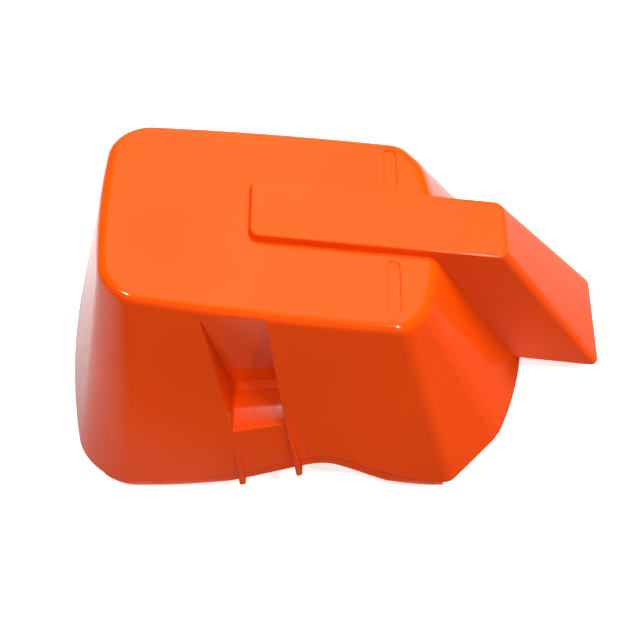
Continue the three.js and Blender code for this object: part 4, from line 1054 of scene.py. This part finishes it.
def seat(obj, material, body_name, slot, *nodes):
    """Gives a finished piece its material and its body, and hides the nodes it stands for; the slot is not
    used.
    """
    obj.data.materials.clear()
    obj.data.materials.append(finish_of(material))
    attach(obj, body_name)
    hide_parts(*nodes)


# ------------------------------------------------------------------ operators
class HOUSING_OT_finishes(Operator):
    """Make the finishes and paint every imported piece"""

    bl_idname = "housing.finishes"
    bl_label = "Paint the packed pieces"

    def execute(self, context):
        finishes(context.scene)
        for part in FRAME["record"]["subparts"]:
            node = NODES[part["node"]]
            node.data.materials.clear()
            node.data.materials.append(finish_of(part["material_slot"]))
        return {"FINISHED"}


class HOUSING_OT_cover(Operator):
    """Build the moulded cover with its strap, hood, pockets and lip"""

    bl_idname = "housing.cover"
    bl_label = "Build the cover"

    def execute(self, context):
        obj = cover_object(Cover(context.scene))
        smooth(obj)
        seat(obj, "orange_plastic", "cover", "orange_plastic", "cover")
        return {"FINISHED"}


class HOUSING_OT_springs(Operator):
    """Wind the two latch springs"""

    bl_idname = "housing.springs"
    bl_label = "Wind the springs"

    def execute(self, context):
        tree = coil_tree()
        for side in ("front", "rear"):
            node = f"{side}_latch_spring"
            low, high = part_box(node)
            wire = 0.00035
            radius = (high.z - low.z) / 2 - wire
            turns = 2.5
            obj = grown(f"{side}_coil", tree, {
                "Turns": turns, "Pitch": (high.x - low.x - 2 * wire) / turns, "Radius": radius, "Wire": wire,
                "Material": finish_of("spring_steel")})
            middle = (low + high) / 2
            obj.data.transform(Matrix.Translation((low.x + wire, middle.y, middle.z)))
            seat(obj, "spring_steel", "base", "spring_steel", node)
        return {"FINISHED"}


class HOUSING_OT_stud(Operator):
    """Cut the thread on the filter stud"""

    bl_idname = "housing.stud"
    bl_label = "Thread the stud"

    def execute(self, context):
        low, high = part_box("filter_stud")
        height = high.z - low.z
        obj = grown("stud_thread", thread_tree(), {
            "Radius": (high.x - low.x) / 2, "Height": height, "Thread": height * 0.42, "Pitch": 0.0008,
            "Material": finish_of("steel")})
        obj.data.transform(Matrix.Translation((low + high) / 2))
        smooth(obj, math.radians(25))
        seat(obj, "steel", "base", "steel", "filter_stud")
        return {"FINISHED"}


class HOUSING_OT_foam(Operator):
    """Give the filter element its open-cell skin"""

    bl_idname = "housing.foam"
    bl_label = "Foam the element"

    def execute(self, context):
        mesh = NODES["filter_element"].data.copy()
        block_obj = bpy.data.objects.new("foam_block", mesh)
        context.scene.collection.objects.link(block_obj)
        remesh = block_obj.modifiers.new("Even skin", "REMESH")
        remesh.mode = "VOXEL"
        remesh.voxel_size = 0.0009
        graph = context.evaluated_depsgraph_get()
        graph.update()
        even = bpy.data.meshes.new_from_object(block_obj.evaluated_get(graph))
        bpy.data.objects.remove(block_obj, do_unlink=True)
        obj = grown("foam_element", foam_tree(), {
            "Pore": context.scene.housing_finish.pore, "Depth": 0.0005, "Material": finish_of("foam")}, even)
        seat(obj, "foam", "filter", "foam", "filter_element")
        return {"FINISHED"}


class HOUSING_OT_stage(Operator):
    """Set the floor, the soft light and the camera"""

    bl_idname = "housing.stage"
    bl_label = "Set the stage"

    def execute(self, context):
        scene = context.scene
        s = scene.housing_stage
        half = s.floor / 2
        below = -0.0003
        floor = new_object("floor", [(-half, -half, below), (half, -half, below), (half, half, below),
                                     (-half, half, below)], [(0, 1, 2, 3)])
        if floor.data.polygons[0].normal.z < 0:
            floor.data.flip_normals()
        floor.data.materials.append(floor_finish())

        world = scene.world or bpy.data.worlds.new("soft_room")
        scene.world = world
        world.use_nodes = True
        back = world.node_tree.nodes["Background"]
        back.inputs["Color"].default_value = (1, 1, 1, 1)
        path = world.node_tree.nodes.new("ShaderNodeLightPath")
        lit = world.node_tree.nodes.new("ShaderNodeMapRange")
        lit.inputs["To Min"].default_value = s.room
        lit.inputs["To Max"].default_value = 0.95
        link(world.node_tree, path.outputs["Is Camera Ray"], lit.inputs["Value"])
        link(world.node_tree, lit.outputs[0], back.inputs["Strength"])
        for name, place, size, power, mirrored in (
                ("overhead", (0.33, 0.58, 1.22), 1.0, s.key, False),
                ("front_fill", (0.0, -1.3, 0.6), 1.0, s.fill, False),
                ("backdrop", (0.0, 1.25, 0.85), 0.8, s.backdrop, True),
                ("underside", (0.2, -0.4, -1.1), 0.9, s.below, True),
                ("highlight_left", (-0.34, -0.34, 1.25), 0.09, 5.0, True),
                ("highlight_right", (0.50, -0.36, 1.0), 0.07, 3.0, True)):
            lamp = bpy.data.lights.new(name, "AREA")
            lamp.size = size
            lamp.energy = power
            obj = bpy.data.objects.new(name, lamp)
            obj.location = place
            obj.rotation_euler = (-Vector(place)).to_track_quat("-Z", "Y").to_euler()
            obj.visible_glossy = mirrored
            scene.collection.objects.link(obj)
        scene.view_settings.view_transform = "Standard"

        view = bpy.data.cameras.new("camera")
        view.lens = s.lens
        view.sensor_width = 36.0
        view.clip_start = 0.01
        camera = bpy.data.objects.new("camera", view)
        camera.location = s.camera
        camera.rotation_euler = (math.pi / 2 - s.elevation, 0, 0)
        scene.collection.objects.link(camera)
        scene.camera = camera
        return {"FINISHED"}


class HOUSING_PT_panel(Panel):
    """Lists the pieces of the housing"""

    bl_idname = "HOUSING_PT_panel"
    bl_label = "Air filter housing"
    bl_space_type = "VIEW_3D"
    bl_region_type = "UI"
    bl_category = "Housing"

    def draw(self, context):
        for operator in OPERATORS:
            self.layout.operator(operator.bl_idname)


SETTINGS = (
    ("housing_cover", CoverSettings),
    ("housing_hood", HoodSettings),
    ("housing_pocket", PocketSettings),
    ("housing_finish", FinishSettings),
    ("housing_stage", StageSettings),
)
OPERATORS = (
    HOUSING_OT_finishes,
    HOUSING_OT_cover,
    HOUSING_OT_springs,
    HOUSING_OT_stud,
    HOUSING_OT_foam,
    HOUSING_OT_stage,
)


def register():
    for name, group in SETTINGS:
        bpy.utils.register_class(group)
        setattr(bpy.types.Scene, name, PointerProperty(type=group))
    for cls in (*OPERATORS, HOUSING_PT_panel):
        bpy.utils.register_class(cls)


def unregister():
    for cls in (HOUSING_PT_panel, *reversed(OPERATORS)):
        bpy.utils.unregister_class(cls)
    for name, group in reversed(SETTINGS):
        delattr(bpy.types.Scene, name)
        bpy.utils.unregister_class(group)


def main():
    for name in ("Cube", "Light", "Camera"):
        spare = bpy.data.objects.get(name)
        if spare is not None:
            bpy.data.objects.remove(spare, do_unlink=True)
    register()
    bpy.ops.housing.finishes()
    bpy.ops.housing.cover()
    bpy.ops.housing.springs()
    bpy.ops.housing.stud()
    bpy.ops.housing.foam()
    bpy.ops.housing.stage()


if __name__ == "__main__":
    main()
